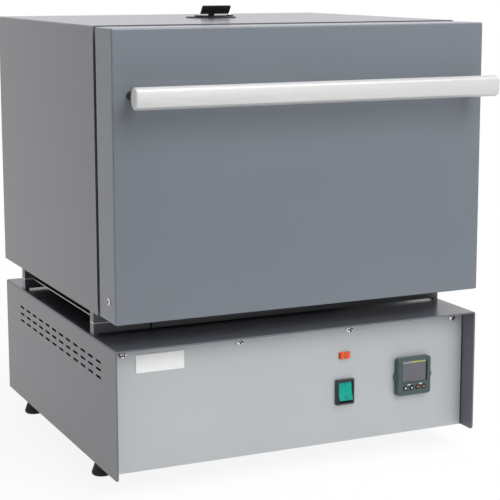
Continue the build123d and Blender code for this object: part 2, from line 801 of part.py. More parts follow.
# Door switch behind the front frame, and its plunger
plunger_tip_y = door_back_y + striker_thickness + fit_clearance
plunger_end_y = frame_back_y + plunger_seat
with BuildPart() as door_switch:
    block(door_switch_span_x, door_switch_span_y, door_switch_span_z)
    with BuildSketch(facing_front(frame_back_y)):
        with Locations((door_switch_x, door_switch_z)):
            Circle(plunger_diameter / 2 + fit_clearance)
    extrude(amount=-(plunger_seat + plunger_travel + plunger_overtravel), mode=Mode.SUBTRACT)
finish(door_switch, "door_switch")

with BuildPart() as door_switch_plunger:
    with BuildSketch(facing_front(plunger_tip_y)):
        with Locations((door_switch_x, door_switch_z)):
            Circle(plunger_diameter / 2)
    extrude(amount=-(plunger_end_y - plunger_tip_y))
    chamfer(edges().sort_by(Axis.Y)[0], plunger_tip_bevel)
finish(door_switch_plunger, "door_switch_plunger")

# Spacer rails: channels open to the rear with closed ends, two under the case and two on the base.
# The lower ones stand on a pad at each end, and the one in front has a slit near its left end.
rail_height = (spacer_height - shield_thickness) / 2
shield_bottom_z = base_top_z + rail_height
shield_top_z = shield_bottom_z + shield_thickness
rail_x = case_width / 2 - rail_end_inset
rail_slit_x = rail_slit_from_end - rail_x
front_rail_y = door_front_y + front_rail_setback
rear_rail_y = base_back_y - rear_rail_inset - rail_depth
rails = (
    ("front_rail_lower", front_rail_y, base_top_z),
    ("front_rail_upper", front_rail_y, shield_top_z),
    ("rear_rail_lower", rear_rail_y, base_top_z),
    ("rear_rail_upper", rear_rail_y, shield_top_z),
)
for label, rail_y, bottom_z in rails:
    with BuildPart() as rail:
        block((-rail_x, rail_x), (rail_y, rail_y + rail_depth), (bottom_z, bottom_z + rail_height))
        offset(amount=-sheet, openings=faces().sort_by(Axis.Y)[-1], kind=Kind.INTERSECTION)
        if bottom_z == base_top_z:
            block((rail_pad_length - rail_x, rail_x - rail_pad_length), (rail_y, rail_y + rail_depth),
                  (bottom_z, bottom_z + rail_relief), mode=Mode.SUBTRACT)
        if label == "front_rail_lower":
            block((rail_slit_x, rail_slit_x + rail_slit_width), (rail_y, rail_y + sheet),
                  (bottom_z, bottom_z + rail_height - sheet), mode=Mode.SUBTRACT)
    finish(rail, label)

# Heat shield, clamped between the upper and lower rails and as wide as they are where it lies on them
shield_x = case_width / 2 - shield_side_inset
with BuildPart() as heat_shield:
    block((-shield_x, shield_x), (front_rail_y, rear_rail_y + rail_depth), (shield_bottom_z, shield_top_z))
    for rail_y in (front_rail_y, rear_rail_y):
        block((-rail_x, rail_x), (rail_y, rail_y + rail_depth), (shield_bottom_z, shield_top_z))
finish(heat_shield, "heat_shield")

foot_places = [
    (side * (base_width / 2 - foot_side_inset), place_y)
    for side in (-1, 1)
    for place_y in (base_front_y + foot_front_setback, base_back_y - foot_rear_setback)
]

# Base cover: top and sides in one folded sheet, its front edges standing proud of the panel
slot_first_y = door_front_y + slot_first_setback
slot_last_y = base_back_y - slot_last_inset
slot_pitch = (slot_last_y - slot_first_y) / (slot_columns - 1)
slot_middle_z = base_top_z - slot_first_drop - (slot_rows - 1) * slot_row_pitch / 2
with BuildPart() as base_cover:
    with BuildSketch(facing_front(base_front_y)):
        wrap_section(base_width, base_bottom_z, base_top_z, cover_sheet, cover_flange)
    extrude(amount=-base_depth)
    block((-base_inner_x, base_inner_x), (base_front_y, panel_back_y), (base_bottom_z, base_floor_bottom_z),
          mode=Mode.SUBTRACT)
    fillet(edges().filter_by(Axis.X).group_by(Axis.Z)[0].group_by(Axis.Y)[0], cover_tip_radius)
    with BuildSketch(Plane.YZ.offset(-base_width / 2)):
        with Locations(((slot_first_y + slot_last_y) / 2, slot_middle_z)):
            with GridLocations(slot_pitch, slot_row_pitch, slot_columns, slot_rows):
                slot_outline(slot_length, slot_height, slot_corner_cut)
    extrude(amount=base_width, mode=Mode.SUBTRACT)
    with Locations(*[(foot_x, foot_y, base_floor_bottom_z) for foot_x, foot_y in foot_places]):
        Hole(screw_shank_diameter / 2, depth=2 * cover_sheet)
finish(base_cover, "base_cover")

# Front panel of the base, cut out for the controller, the switch, the lamp and the screws
controller_x = base_width / 2 - controller_side_inset
controller_z = base_middle_z - controller_below_middle
switch_x = controller_x - switch_from_controller
switch_z = base_middle_z - switch_below_middle
lamp_z = switch_z + lamp_above_switch
panel_screw_pitch = (base_width - 2 * panel_screw_inset) / (panel_screw_count - 1)
panel_screw_z = base_top_z - panel_screw_drop
switch_body_width = switch_width - 2 * switch_body_inset
switch_body_height = switch_height - 2 * switch_body_inset
with BuildPart() as base_front_panel:
    with BuildSketch(facing_front(panel_front_y)):
        with Locations((0, (base_bottom_z + base_inner_top_z) / 2)):
            Rectangle(2 * base_inner_x, base_inner_top_z - base_bottom_z)
        with Locations((controller_x, controller_z)):
            Rectangle(controller_body_size, controller_body_size, mode=Mode.SUBTRACT)
        with Locations((switch_x, switch_z)):
            Rectangle(switch_body_width, switch_body_height, mode=Mode.SUBTRACT)
        with Locations((switch_x, lamp_z)):
            Rectangle(lamp_body_width, lamp_body_height, mode=Mode.SUBTRACT)
        with Locations((0, panel_screw_z)):
            with GridLocations(panel_screw_pitch, 0, panel_screw_count, 1):
                Circle(screw_shank_diameter / 2, mode=Mode.SUBTRACT)
    extrude(amount=-panel_thickness)
finish(base_front_panel, "base_front_panel")

with BuildPart() as panel_screws:
    for index in range(panel_screw_count):
        screw_x = (index - (panel_screw_count - 1) / 2) * panel_screw_pitch
        pan_head_screw(Plane(origin=(screw_x, panel_front_y, panel_screw_z), z_dir=(0, -1, 0)),
                       panel_screw_head_diameter, panel_screw_head_height, screw_shank_diameter,
                       screw_shank_length)
finish(panel_screws, "panel_screws")

# Blank plate at the panel's left
badge_x = badge_side_inset + badge_width / 2 - base_inner_x
with BuildPart() as badge_plate:
    with BuildSketch(facing_front(panel_front_y)):
        with Locations((badge_x, base_top_z - badge_drop)):
            RectangleRounded(badge_width, badge_height, badge_corner_radius)
    extrude(amount=badge_thickness)
finish(badge_plate, "badge_plate")

# Controller: bezel in front of the panel, its case behind, display and keys
bezel_front_y = panel_front_y - controller_proud
key_length = key_proud + controller_proud - key_travel - fit_clearance
key_z = controller_z - key_drop
key_xs = [controller_x + (index - (key_count - 1) / 2) * key_pitch for index in range(key_count)]
with BuildPart() as controller_bezel:
    with BuildSketch(facing_front(panel_front_y)):
        with Locations((controller_x, controller_z)):
            RectangleRounded(controller_size, controller_size, controller_corner_radius)
    extrude(amount=controller_proud)
    chamfer(faces().sort_by(Axis.Y)[0].edges(), controller_edge_bevel)
    with BuildSketch(facing_front(bezel_front_y)):
        with Locations((controller_x + window_shift, controller_z + window_rise)):
            RectangleRounded(window_width, window_height, window_corner_radius)
    extrude(amount=-window_depth, mode=Mode.SUBTRACT)
    with BuildSketch(facing_front(bezel_front_y)):
        with Locations(*[(key_x, key_z) for key_x in key_xs]):
            Circle(key_diameter / 2 + fit_clearance)
    extrude(amount=-controller_proud, mode=Mode.SUBTRACT)
    with BuildSketch(facing_front(bezel_front_y + latch_ear_setback)):
        for side in (-1, 1):
            with Locations((controller_x + side * (controller_size / 2 - latch_ear_root), controller_z)):
                Ellipse(latch_ear_root + latch_ear_proud, latch_ear_height / 2)
    extrude(amount=latch_ear_setback - controller_proud)
finish(controller_bezel, "controller_bezel")

with BuildPart() as controller_body:
    block((controller_x - controller_body_size / 2, controller_x + controller_body_size / 2),
          (panel_front_y, panel_front_y + controller_body_length),
          (controller_z - controller_body_size / 2, controller_z + controller_body_size / 2))
finish(controller_body, "controller_body")

with BuildPart() as controller_display:
    with BuildSketch(facing_front(bezel_front_y + window_depth)):
        with Locations((controller_x + window_shift, controller_z + window_rise)):
            RectangleRounded(window_width, window_height, window_corner_radius)
    extrude(amount=display_thickness)
finish(controller_display, "controller_display")

key_labels = ("key_page", "key_scroll", "key_down", "key_up")
for label, key_x in zip(key_labels, key_xs):
    with BuildPart() as key:
        with BuildSketch(facing_front(bezel_front_y - key_proud)):
            with Locations((key_x, key_z)):
                Circle(key_diameter / 2)
        extrude(amount=-key_length)
        chamfer(edges().sort_by(Axis.Y)[0], key_crown)
    finish(key, label)

# Power switch: housing with a bezel, and the rocker on two short pins
rocker_width = switch_width - 2 * switch_wall - 2 * fit_clearance
housing_front_y = panel_front_y - switch_bezel_proud
cavity_height = 2 * (rocker_height / 2 + rocker_end_rise * sin(radians(rocker_tilt)) + fit_clearance)
rocker_pivot_y = panel_front_y + rocker_pivot_depth
with BuildPart() as switch_housing:
    with BuildSketch(facing_front(panel_front_y)):
        with Locations((switch_x, switch_z)):
            RectangleRounded(switch_width, switch_height, switch_corner_radius)
    extrude(amount=switch_bezel_proud)
    chamfer(faces().sort_by(Axis.Y)[0].edges(), switch_edge_bevel)
    with BuildSketch(facing_front(panel_front_y)):
        with Locations((switch_x, switch_z)):
            Rectangle(switch_body_width, switch_body_height)
    extrude(amount=-switch_body_depth)
    with BuildSketch(facing_front(housing_front_y)):
        with Locations((switch_x, switch_z)):
            Rectangle(switch_width - 2 * switch_wall, cavity_height)
    extrude(amount=-(switch_bezel_proud + switch_cavity_depth), mode=Mode.SUBTRACT)
    with BuildSketch(Plane.YZ.offset(switch_x - switch_width / 2 + switch_body_inset)):
        with Locations((rocker_pivot_y, switch_z)):
            Circle(rocker_pin_diameter / 2 + running_clearance)
    extrude(amount=switch_body_width, mode=Mode.SUBTRACT)
finish(switch_housing, "switch_housing")

with BuildPart() as switch_rocker:
    rocker_plane = Plane(origin=(switch_x, rocker_pivot_y, switch_z), z_dir=(-1, 0, 0),
                         x_dir=(0, -cos(radians(rocker_tilt)), sin(radians(rocker_tilt))))
    with BuildSketch(rocker_plane):
        with BuildLine():
            Polyline(
                (rocker_valley_rise, 0),
                (rocker_end_rise, rocker_height / 2),
                (0, rocker_height / 2 - rocker_end_bevel),
                (-rocker_back, rocker_height / 4),
                (-rocker_back, -rocker_height / 4),
                (0, rocker_end_bevel - rocker_height / 2),
                (rocker_end_rise, -rocker_height / 2),
                (rocker_valley_rise, 0),
            )
        make_face()
    extrude(amount=rocker_width / 2, both=True)
    with BuildSketch(rocker_plane):
        Circle(rocker_pin_diameter / 2)
    extrude(amount=rocker_width / 2 + rocker_pin_length, both=True)
finish(switch_rocker, "switch_rocker")

# Pilot lamp: a bevelled lens over its body
with BuildPart() as lamp_lens:
    with BuildSketch(facing_front(panel_front_y)):
        with Locations((switch_x, lamp_z)):
            Rectangle(lamp_width, lamp_height)
    extrude(amount=lamp_proud)
    chamfer(faces().sort_by(Axis.Y)[0].edges().filter_by(Axis.Z), lamp_bevel)
finish(lamp_lens, "lamp_lens")

with BuildPart() as lamp_body:
    block((switch_x - lamp_body_width / 2, switch_x + lamp_body_width / 2),
          (panel_front_y, panel_front_y + lamp_body_length),
          (lamp_z - lamp_body_height / 2, lamp_z + lamp_body_height / 2))
finish(lamp_body, "lamp_body")

# Base floor, resting on the cover's return flanges
with BuildPart() as base_floor:
    block((-base_inner_x, base_inner_x), (panel_back_y, rear_panel_front_y),
          (base_floor_bottom_z, base_floor_top_z))
    with Locations(*[(foot_x, foot_y, base_floor_top_z) for foot_x, foot_y in foot_places]):
        Hole(screw_shank_diameter / 2, depth=cover_sheet)
finish(base_floor, "base_floor")

# Rear panel of the base, cut out for the power inlet, with louvre slots
inlet_x = inlet_side_inset - base_width / 2
inlet_z = base_bottom_z + inlet_rise
base_louvre_x = base_width / 2 - base_louvre_side_inset
base_screw_places = [
    (side * (base_inner_x - rear_screw_inset), screw_z)
    for side in (-1, 1)
    for screw_z in (base_inner_top_z - rear_screw_inset, base_floor_bottom_z + rear_screw_inset)
]
with BuildPart() as base_rear_panel:
    with BuildSketch(facing_front(rear_panel_front_y)):
        with Locations((0, (base_floor_bottom_z + base_inner_top_z) / 2)):
            Rectangle(2 * base_inner_x, base_inner_top_z - base_floor_bottom_z)
        with Locations((inlet_x, inlet_z)):
            Rectangle(inlet_body_width, inlet_body_height, mode=Mode.SUBTRACT)
        with Locations((base_louvre_x, (base_floor_bottom_z + base_inner_top_z) / 2)):
            with GridLocations(0, louvre_pitch, 1, louvre_count):
                slot_outline(louvre_length, louvre_height, louvre_corner_cut, mode=Mode.SUBTRACT)
        with Locations(*base_screw_places):
            Circle(screw_shank_diameter / 2, mode=Mode.SUBTRACT)
    extrude(amount=-sheet)
finish(base_rear_panel, "base_rear_panel")

# Screws of both rear panels, their heads inside the rear edges of the case and the cover
rear_screw_places = [(screw_x, case_panel_back_y, screw_z) for screw_x, screw_z in case_screw_places]
rear_screw_places += [(screw_x, rear_panel_back_y, screw_z) for screw_x, screw_z in base_screw_places]
with BuildPart() as rear_screws:
    for place in rear_screw_places:
        hexagon_screw(Plane(origin=place, z_dir=(0, 1, 0)),
                      screw_head_diameter, screw_head_height, screw_shank_diameter, screw_shank_length)
finish(rear_screws, "rear_screws")

# Power inlet: a flanged socket with three blades
with BuildPart() as power_inlet:
    with BuildSketch(facing_front(rear_panel_back_y)):
        with Locations((inlet_x, inlet_z)):
            RectangleRounded(inlet_flange_width, inlet_flange_height, inlet_flange_corner_radius)
    extrude(amount=-inlet_flange_thickness)
    with BuildSketch(facing_front(rear_panel_back_y)):
        with Locations((inlet_x, inlet_z)):
            Rectangle(inlet_body_width, inlet_body_height)
    extrude(amount=inlet_body_depth)
    with BuildSketch(facing_front(rear_panel_back_y + inlet_flange_thickness)):
        with Locations((inlet_x, inlet_z)):
            RectangleRounded(inlet_cavity_width, inlet_cavity_height, inlet_cavity_corner_radius)
    extrude(amount=inlet_cavity_depth, mode=Mode.SUBTRACT)
    cavity_floor_y = rear_panel_back_y + inlet_flange_thickness - inlet_cavity_depth
    for index in (-1, 0, 1):
        blade_x = inlet_x + index * blade_pitch
        block((blade_x - blade_width / 2, blade_x + blade_width / 2),
              (cavity_floor_y, cavity_floor_y + blade_length),
              (inlet_z - blade_drop - blade_height / 2, inlet_z - blade_drop + blade_height / 2))
finish(power_inlet, "power_inlet")

# Relay on its finned heat sink, standing on the base floor
relay_x = base_louvre_x - relay_from_louvres
relay_y = rear_panel_front_y - relay_from_rear_panel
with BuildPart() as heat_sink:
    with BuildSketch(facing_front(relay_y - sink_length / 2)):
        with Locations((relay_x, base_floor_top_z + fin_height + sink_plate / 2)):
            Rectangle(sink_width, sink_plate)
        with Locations((relay_x, base_floor_top_z + fin_height / 2)):
            with GridLocations((sink_width - fin_thickness) / (fin_count - 1), 0, fin_count, 1):
                Rectangle(fin_thickness, fin_height)
    extrude(amount=-sink_length)
finish(heat_sink, "heat_sink")

sink_top_z = base_floor_top_z + fin_height + sink_plate
with BuildPart() as relay_module:
    with BuildSketch(Plane.XY.offset(sink_top_z)):
        with Locations((relay_x, relay_y)):
            RectangleRounded(relay_width, relay_length, relay_corner_radius)
    extrude(amount=relay_height)
finish(relay_module, "relay_module")

# Feet: bell-shaped rubber bumpers, each with a screw in its recess
with BuildPart() as feet:
    for foot_x, foot_y in foot_places:
        with BuildSketch(Plane(origin=(foot_x, foot_y, 0), x_dir=(1, 0, 0), z_dir=(0, -1, 0))):
            with BuildLine():
                Polyline(
                    (screw_shank_diameter / 2, foot_height),
                    (screw_shank_diameter / 2, foot_recess_depth),
                    (foot_recess_radius, foot_recess_depth),
                    (foot_recess_radius, 0),
                    (foot_base_radius - foot_chamfer, 0),
                    (foot_base_radius, foot_chamfer),
                    (foot_base_radius, foot_rim_height),
                    (foot_waist_radius, foot_waist_height),
                    (foot_top_radius, foot_height),
                    close=True,
                )
            make_face()
        revolve(axis=Axis((foot_x, foot_y, 0), (0, 0, 1)))
finish(feet, "feet")

with BuildPart() as foot_screws:
    for foot_x, foot_y in foot_places:
        hexagon_screw(Plane(origin=(foot_x, foot_y, foot_recess_depth), z_dir=(0, 0, -1)),
                      foot_screw_head_width, foot_screw_head_height, screw_shank_diameter,
                      base_floor_top_z - foot_recess_depth)
finish(foot_screws, "foot_screws")
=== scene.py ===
import json
from math import pi, radians, tan

import bmesh
import bpy
import numpy as np
from bpy.props import FloatProperty, FloatVectorProperty, IntProperty, PointerProperty
from mathutils import Euler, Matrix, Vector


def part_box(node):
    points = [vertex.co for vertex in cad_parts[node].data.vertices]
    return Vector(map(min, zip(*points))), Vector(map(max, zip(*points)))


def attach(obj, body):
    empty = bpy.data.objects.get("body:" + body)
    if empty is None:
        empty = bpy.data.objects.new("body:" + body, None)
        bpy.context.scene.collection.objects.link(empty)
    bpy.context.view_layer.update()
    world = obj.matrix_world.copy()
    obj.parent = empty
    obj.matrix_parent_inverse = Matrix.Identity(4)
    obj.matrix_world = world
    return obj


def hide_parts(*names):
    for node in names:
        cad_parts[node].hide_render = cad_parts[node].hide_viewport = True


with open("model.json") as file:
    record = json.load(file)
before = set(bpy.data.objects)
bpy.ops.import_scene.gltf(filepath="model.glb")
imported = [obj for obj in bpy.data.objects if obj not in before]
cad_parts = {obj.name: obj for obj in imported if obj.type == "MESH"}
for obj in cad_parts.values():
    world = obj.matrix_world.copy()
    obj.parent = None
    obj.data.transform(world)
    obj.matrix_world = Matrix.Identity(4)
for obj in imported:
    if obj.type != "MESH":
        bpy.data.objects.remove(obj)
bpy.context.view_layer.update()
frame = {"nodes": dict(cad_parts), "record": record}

bl_info = {
    "name": "Muffle furnace dressing",
    "version": (1, 0, 0),
    "blender": (4, 5, 0),
    "location": "3D View > Sidebar > Furnace",
    "description": "Finishes and fine pieces of a bench muffle furnace, set on its packed frame",
    "category": "Object",
}

SHARP_ANGLE = radians(32)
MERGE_DISTANCE = 1e-6
# How far the ambient occlusion looks that paints shade into a fastener's recess
RECESS_SHADE_REACH = 0.0025
# Where a noise pattern starts and ends for the eye, though it runs from 0 to 1
PATTERN_RANGE = (0.3, 0.7)


def slot_colour(slot):
    """Base colour that the record gives to a material slot."""
    return tuple(next(m["base_color"] for m in frame["record"]["materials"] if m["slot"] == slot))


def corners(node):
    """Lowest and highest corner of a CAD node as arrays."""
    low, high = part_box(node)
    return np.array(low), np.array(high)


def node_points(node):
    """Points of a CAD node's mesh, one a row."""
    mesh = frame["nodes"][node].data
    points = np.empty(3 * len(mesh.vertices), np.float32)
    mesh.vertices.foreach_get("co", points)
    return points.reshape(-1, 3).astype(float)


# Sizes and colours


def colour(name, description, default):
    """Colour property with a picker."""
    return FloatVectorProperty(name=name, description=description, subtype="COLOR", size=3, min=0, max=1,
                               default=default)


def length(name, description, default):
    """Length property in metres."""
    return FloatProperty(name=name, description=description, unit="LENGTH", min=0, default=default,
                         precision=5)


def share(name, description, default):
    """Plain number property."""
    return FloatProperty(name=name, description=description, default=default, precision=4)


def angle(name, description, degrees):
    """Angle property, given in degrees."""
    return FloatProperty(name=name, description=description, subtype="ANGLE", default=radians(degrees))


def power(name, description, watts):
    """Property for a light's power in watts."""
    return FloatProperty(name=name, description=description, unit="POWER", default=watts)


class FurnacePaints(bpy.types.PropertyGroup):
    """Colours of the sheet metal and the bright parts."""

    case: colour("Case paint", "Powder coat of the case and the base cover", (0.121, 0.125, 0.147))
    door: colour("Door paint", "Powder coat of the door", slot_colour("door_paint"))
    rails: colour("Rail paint", "Dark paint of the spacer rails", slot_colour("rail_paint"))
    panel: colour("Panel silver", "Silver coat of the control panel", (0.43, 0.451, 0.463))
    handle: colour("Handle metal", "Satin metal of the handle bar", (0.57, 0.57, 0.567))
    steel: colour("Plain steel", "Bare sheet steel", slot_colour("plain_steel"))
    # Painted shade: near-black for the heat shield's level faces, which lie in shade under the case
    shield: colour("Heat shield", "Dulled faces of the heat shield", (0.06, 0.06, 0.065))
    fasteners: colour("Fasteners", "Bright plated screws", slot_colour("fasteners"))
    black: colour("Black metal", "Black paint of the vent", slot_colour("black_metal"))
    peel: length("Paint texture", "Height of the powder coat's fine texture", 0.000004)


class FurnacePlastics(bpy.types.PropertyGroup):
    """Colours of the moulded parts."""

    housing: colour("Black housings", "Switch housing and inlet", slot_colour("black_plastic"))
    controller: colour("Controller", "Bezel of the controller", slot_colour("controller_plastic"))
    display: colour("Display", "Smoked cover of the display", slot_colour("display_glass"))
    header: colour("Display header", "Grey part of the display's header", (0.30, 0.30, 0.32))
    header_green: colour("Header strip", "Yellow-green part of the display's header", (0.36, 0.42, 0.10))
    rocker: colour("Rocker", "Translucent rocker", slot_colour("rocker_green"))
    engraved: colour("Engraved marks", "On and off marks of the rocker", (0.0, 0.06, 0.05))
    lamp: colour("Lamp", "Translucent pilot lamp", slot_colour("lamp_orange"))
    lamp_ring: colour("Lamp ring", "Ring moulded in the lamp", (0.22, 0.015, 0.004))
    badge: colour("Blank plate", "Blank white plate", slot_colour("badge_white"))
    marks: colour("White marks", "Marks on rocker and keys", (0.85, 0.86, 0.84))
    alarm: colour("Orange marks", "Marks on the two right keys", (0.85, 0.25, 0.05))
    rubber: colour("Rubber", "Rubber of the feet", slot_colour("foot_rubber"))


class FurnaceCeramics(bpy.types.PropertyGroup):
    """Colours of the chamber's parts."""

    board: colour("Fibre board", "Ceramic-fibre boards and plug", (0.70, 0.685, 0.635))
    hard: colour("Hard ceramic", "Collar, hearth plate and tubes", (0.64, 0.60, 0.52))
    wire: colour("Element wire", "Oxidised resistance wire", slot_colour("element_wire"))


class FurnaceFine(bpy.types.PropertyGroup):
    """Sizes of the fine pieces."""

    recess_arm: length("Cross recess arm", "Width of one arm of a screw's cross recess", 0.0017)
    recess_depth: length("Cross recess depth", "Depth of a screw's cross recess", 0.0016)
    screw_shank: length("Screw shank", "Diameter of a panel screw's shank", 0.004)
    bolt_head: length("Bolt head", "Height of the rear bolts' hexagon heads", 0.0022)
    hinge_shank: length("Hinge shank", "Diameter of a hinge screw's shank", 0.006)
    wire_diameter: length("Element wire", "Diameter of the coiled resistance wire", 0.0014)
    coil_step: length("Coil step", "Distance between neighbouring turns of a coil", 0.0042)
    coil_diameter: length("Coil diameter", "Outer diameter of a heating coil", 0.009)
    coil_pitch: length("Coil passes", "Distance between neighbouring passes of a coil", 0.024)
    coil_end_margin: length("Coil margin", "From a coil's rear end to the end of its plate", 0.016)
    handle_flat: length("Handle flat", "Height of the flat front of the handle bar", 0.018)
    handle_bevel: length("Handle bevel", "Depth of the bevels above and below that flat", 0.007)
    handle_round: length("Handle edge", "Rounding of the handle bar's ends", 0.0022)
    mark_height: length("Mark height", "How far a printed or moulded mark stands proud", 0.00012)
    lip_height: length("Window lip", "Height of the lip round the controller's window", 0.0005)
    lip_width: length("Lip width", "Width of that lip's slope", 0.0019)
    header_height: length("Header height", "Height of the strip at the display's top", 0.0022)
    window_shadow: length("Window side", "Width of the dark strip at the display's right", 0.0013)
    key_gap: length("Key gap", "Gap between a controller key and its rim", 0.00015)
    # Painted shadow: a dark rim round each key stands for the shade in the recess it sits in
    key_shadow_rim: length("Key rim", "Width of the dark rim round a controller key", 0.0006)
    # Painted shadow: dark strips along the panel's sides stand for the shaded gap at the cover
    panel_gap_shadow: length("Edge strip", "Width of the dark strip along each side of the control panel", 0.0012)
    panel_gap_shadow_drop: length("Edge strip top", "From the cover's top to the top of that strip", 0.0025)
    turns_around: IntProperty(name="Ring steps", description="Steps round a turned piece", default=48, min=12)


class FurnaceStage(bpy.types.PropertyGroup):
    """Camera, floor and lights."""

    camera_place: FloatVectorProperty(name="Camera place", description="Where the camera stands", size=3,
                                      unit="LENGTH", default=(-0.784225, -1.747184, 0.601809), precision=5)
    camera_yaw: angle("Camera yaw", "Turn of the view to the right", 25.197)
    camera_pitch: angle("Camera pitch", "Tilt of the view below the horizon", 9.412)
    camera_lens: FloatProperty(name="Lens", description="Focal length on a 36 mm wide sensor",
                               subtype="DISTANCE_CAMERA", default=107.30)
    shift_x: share("Shift x", "Sideways shift of the lens", -0.025)
    shift_y: share("Shift y", "Upward shift of the lens", -0.06)
    floor: colour("Floor", "Pale studio floor", (0.92, 0.92, 0.92))
    floor_glow: share("Floor brightness", "Share of the floor that the camera sees as plain white", 0.9)
    front_left: share("Front left mirror share",
                      "Share of the floor's white that mirrors see at the front left", 0.15)
    ambient: share("Ambient", "Strength of the even studio light", 0.095)
    key_power: power("Key light", "Power of the large light in front", 92.0)
    rear_power: power("Rear light", "Power of the light behind", 40.0)
    top_power: power("Top light", "Power of the light above", 70.0)


GROUPS = {
    "furnace_paints": FurnacePaints,
    "furnace_plastics": FurnacePlastics,
    "furnace_ceramics": FurnaceCeramics,
    "furnace_fine": FurnaceFine,
    "furnace_stage": FurnaceStage,
}


# Node trees


class Tree:
    """A node tree that nodes are added to."""

    def __init__(self, tree):
        self.tree = tree

    def feed(self, socket, value):
        """Link an output to a socket, or set the socket to a constant."""
        if isinstance(value, bpy.types.NodeSocket):
            self.tree.links.new(value, socket)
        else:
            socket.default_value = value

    def node(self, kind, inputs=None, **settings):
        """New node with its settings, and its inputs by name or number."""
        made = self.tree.nodes.new(kind)
        for key, value in settings.items():
            setattr(made, key, value)
        for key, value in (inputs or {}).items():
            self.feed(made.inputs[key], value)
        return made

    def spread(self, value, low, high, to_low, to_high):
        """Value carried from one range to another and held at its ends."""
        made = self.node("ShaderNodeMapRange", {"Value": value, "From Min": low, "From Max": high,
                                                "To Min": to_low, "To Max": to_high})
        return made.outputs["Result"]

    def math(self, operation, a, b=0.0):
        """One sum on two numbers."""
        return self.node("ShaderNodeMath", {0: a, 1: b}, operation=operation).outputs[0]

    def in_sight(self, path):
        """1 for a ray of the camera, a mirror or glass, and 0 for one that only lights."""
        reflected = self.math("MAXIMUM", path["Is Glossy Ray"], path["Is Transmission Ray"])
        return self.math("MAXIMUM", path["Is Camera Ray"], reflected)


class Finish(Tree):
    """One material's node tree, read on Object coordinates in metres."""

    def __init__(self, name, base, roughness, metallic=0.0, **constants):
        self.material = bpy.data.materials.new(name)
        self.material.use_nodes = True
        super().__init__(self.material.node_tree)
        self.shader = self.tree.nodes["Principled BSDF"]
        self.base = (*base, 1.0)
        self.set("Base Color", self.base)
        self.set("Roughness", roughness)
        self.set("Metallic", metallic)
        for socket, value in constants.items():
            self.set(socket.replace("_", " "), value)
        self.place = self.node("ShaderNodeTexCoord").outputs["Object"]

    def set(self, socket, value):
        """Feed one of the shader's own sockets."""
        self.feed(self.shader.inputs[socket], value)

    def noise(self, scale, detail=2.0, rough=0.5, stretch=(1.0, 1.0, 1.0)):
        """Noise from 0 to 1; scale counts its cells per metre, and stretch widens them along an axis."""
        widened = tuple(1 / times for times in stretch)
        fitted = self.node("ShaderNodeMapping", {"Vector": self.place, "Scale": widened})
        made = self.node("ShaderNodeTexNoise", {"Vector": fitted.outputs[0], "Scale": scale, "Detail": detail,
                                                "Roughness": rough})
        return made.outputs["Fac"]

    def cells(self, scale):
        """Distance to the nearest of scattered points, for specks and pores."""
        return self.node("ShaderNodeTexVoronoi", {"Vector": self.place, "Scale": scale}).outputs["Distance"]

    def mix(self, share_of_b, a, b):
        """Mix of two colours."""
        made = self.node("ShaderNodeMix", {"Factor": share_of_b}, data_type="RGBA")
        self.feed(made.inputs[6], a)
        self.feed(made.inputs[7], b)
        return made.outputs[2]

    def shade(self, factor):
        """The base colour, lighter or darker."""
        return tuple(min(1.0, channel * factor) for channel in self.base[:3]) + (1.0,)

    def mottle(self, pattern, darker, lighter):
        """Vary the base colour with a pattern from 0 to 1."""
        self.set("Base Color", self.mix(pattern, self.shade(darker), self.shade(lighter)))

    def layered(self, a, b, share_of_b):
        """Two patterns added, each by its share."""
        return self.math("ADD", self.math("MULTIPLY", a, 1 - share_of_b),
                         self.math("MULTIPLY", b, share_of_b))

    def vary_gloss(self, pattern, lowest, highest):
        """Roughness that goes from lowest to highest with a pattern."""
        self.set("Roughness", self.spread(pattern, *PATTERN_RANGE, lowest, highest))

    def relief(self, height, depth):
        """Bump from a height pattern of the given depth in metres."""
        made = self.node("ShaderNodeBump", {"Height": height, "Distance": depth, "Strength": 1.0})
        self.set("Normal", made.outputs["Normal"])


def powder_coat(name, base, roughness, peel, specular=0.5):
    """Satin powder coat: soft cloudiness, fine specks in gloss and an orange-peel surface."""
    made = Finish(name, base, roughness, Specular_IOR_Level=specular)
    cloud = made.noise(5.0, 3.0)
    speck = made.noise(1400.0, 1.0)
    made.mottle(made.layered(cloud, speck, 0.2), 0.95, 1.05)
    made.set("Roughness", made.spread(made.noise(300.0, 2.0), 0.35, 0.65, roughness - 0.02, roughness + 0.03))
    made.relief(made.noise(450.0, 1.0), peel)
    return made.material


def shield_steel(name, base, roughness, edge):
    """Sheet steel with a rolled grain, its level faces painted near-black as painted shade and its cut edges
    left bright.
    """
    made = Finish(name, base, roughness, 1.0)
    upright = made.node("ShaderNodeSeparateXYZ", {0: made.node("ShaderNodeNewGeometry").outputs["Normal"]})
    level = made.spread(made.math("ABSOLUTE", upright.outputs["Z"]), 0.4, 0.8, 0.0, 1.0)
    grain = made.noise(900.0, 3.0, 0.6, (40.0, 1.0, 1.0))
    # Painted shade: level faces take a near-black tone, upright faces and cut edges the bright metal
    shaded_faces = made.mix(grain, made.shade(0.75), made.shade(1.25))
    made.set("Base Color", made.mix(level, (*edge, 1.0), shaded_faces))
    made.vary_gloss(grain, roughness - 0.05, roughness + 0.08)
    made.relief(grain, 0.00002)
    return made.material


def brushed_metal(name, base, roughness, along=(60.0, 1.0, 1.0), metallic=1.0):
    """Brushed or drawn metal: long fine streaks that change gloss, colour and height."""
    made = Finish(name, base, roughness, metallic)
    streak = made.noise(1500.0, 3.0, 0.6, along)
    broad = made.noise(9.0, 2.0)
    made.mottle(made.layered(streak, broad, 0.3), 0.88, 1.10)
    made.vary_gloss(streak, roughness - 0.07, roughness + 0.09)
    made.relief(streak, 0.00003)
    return made.material


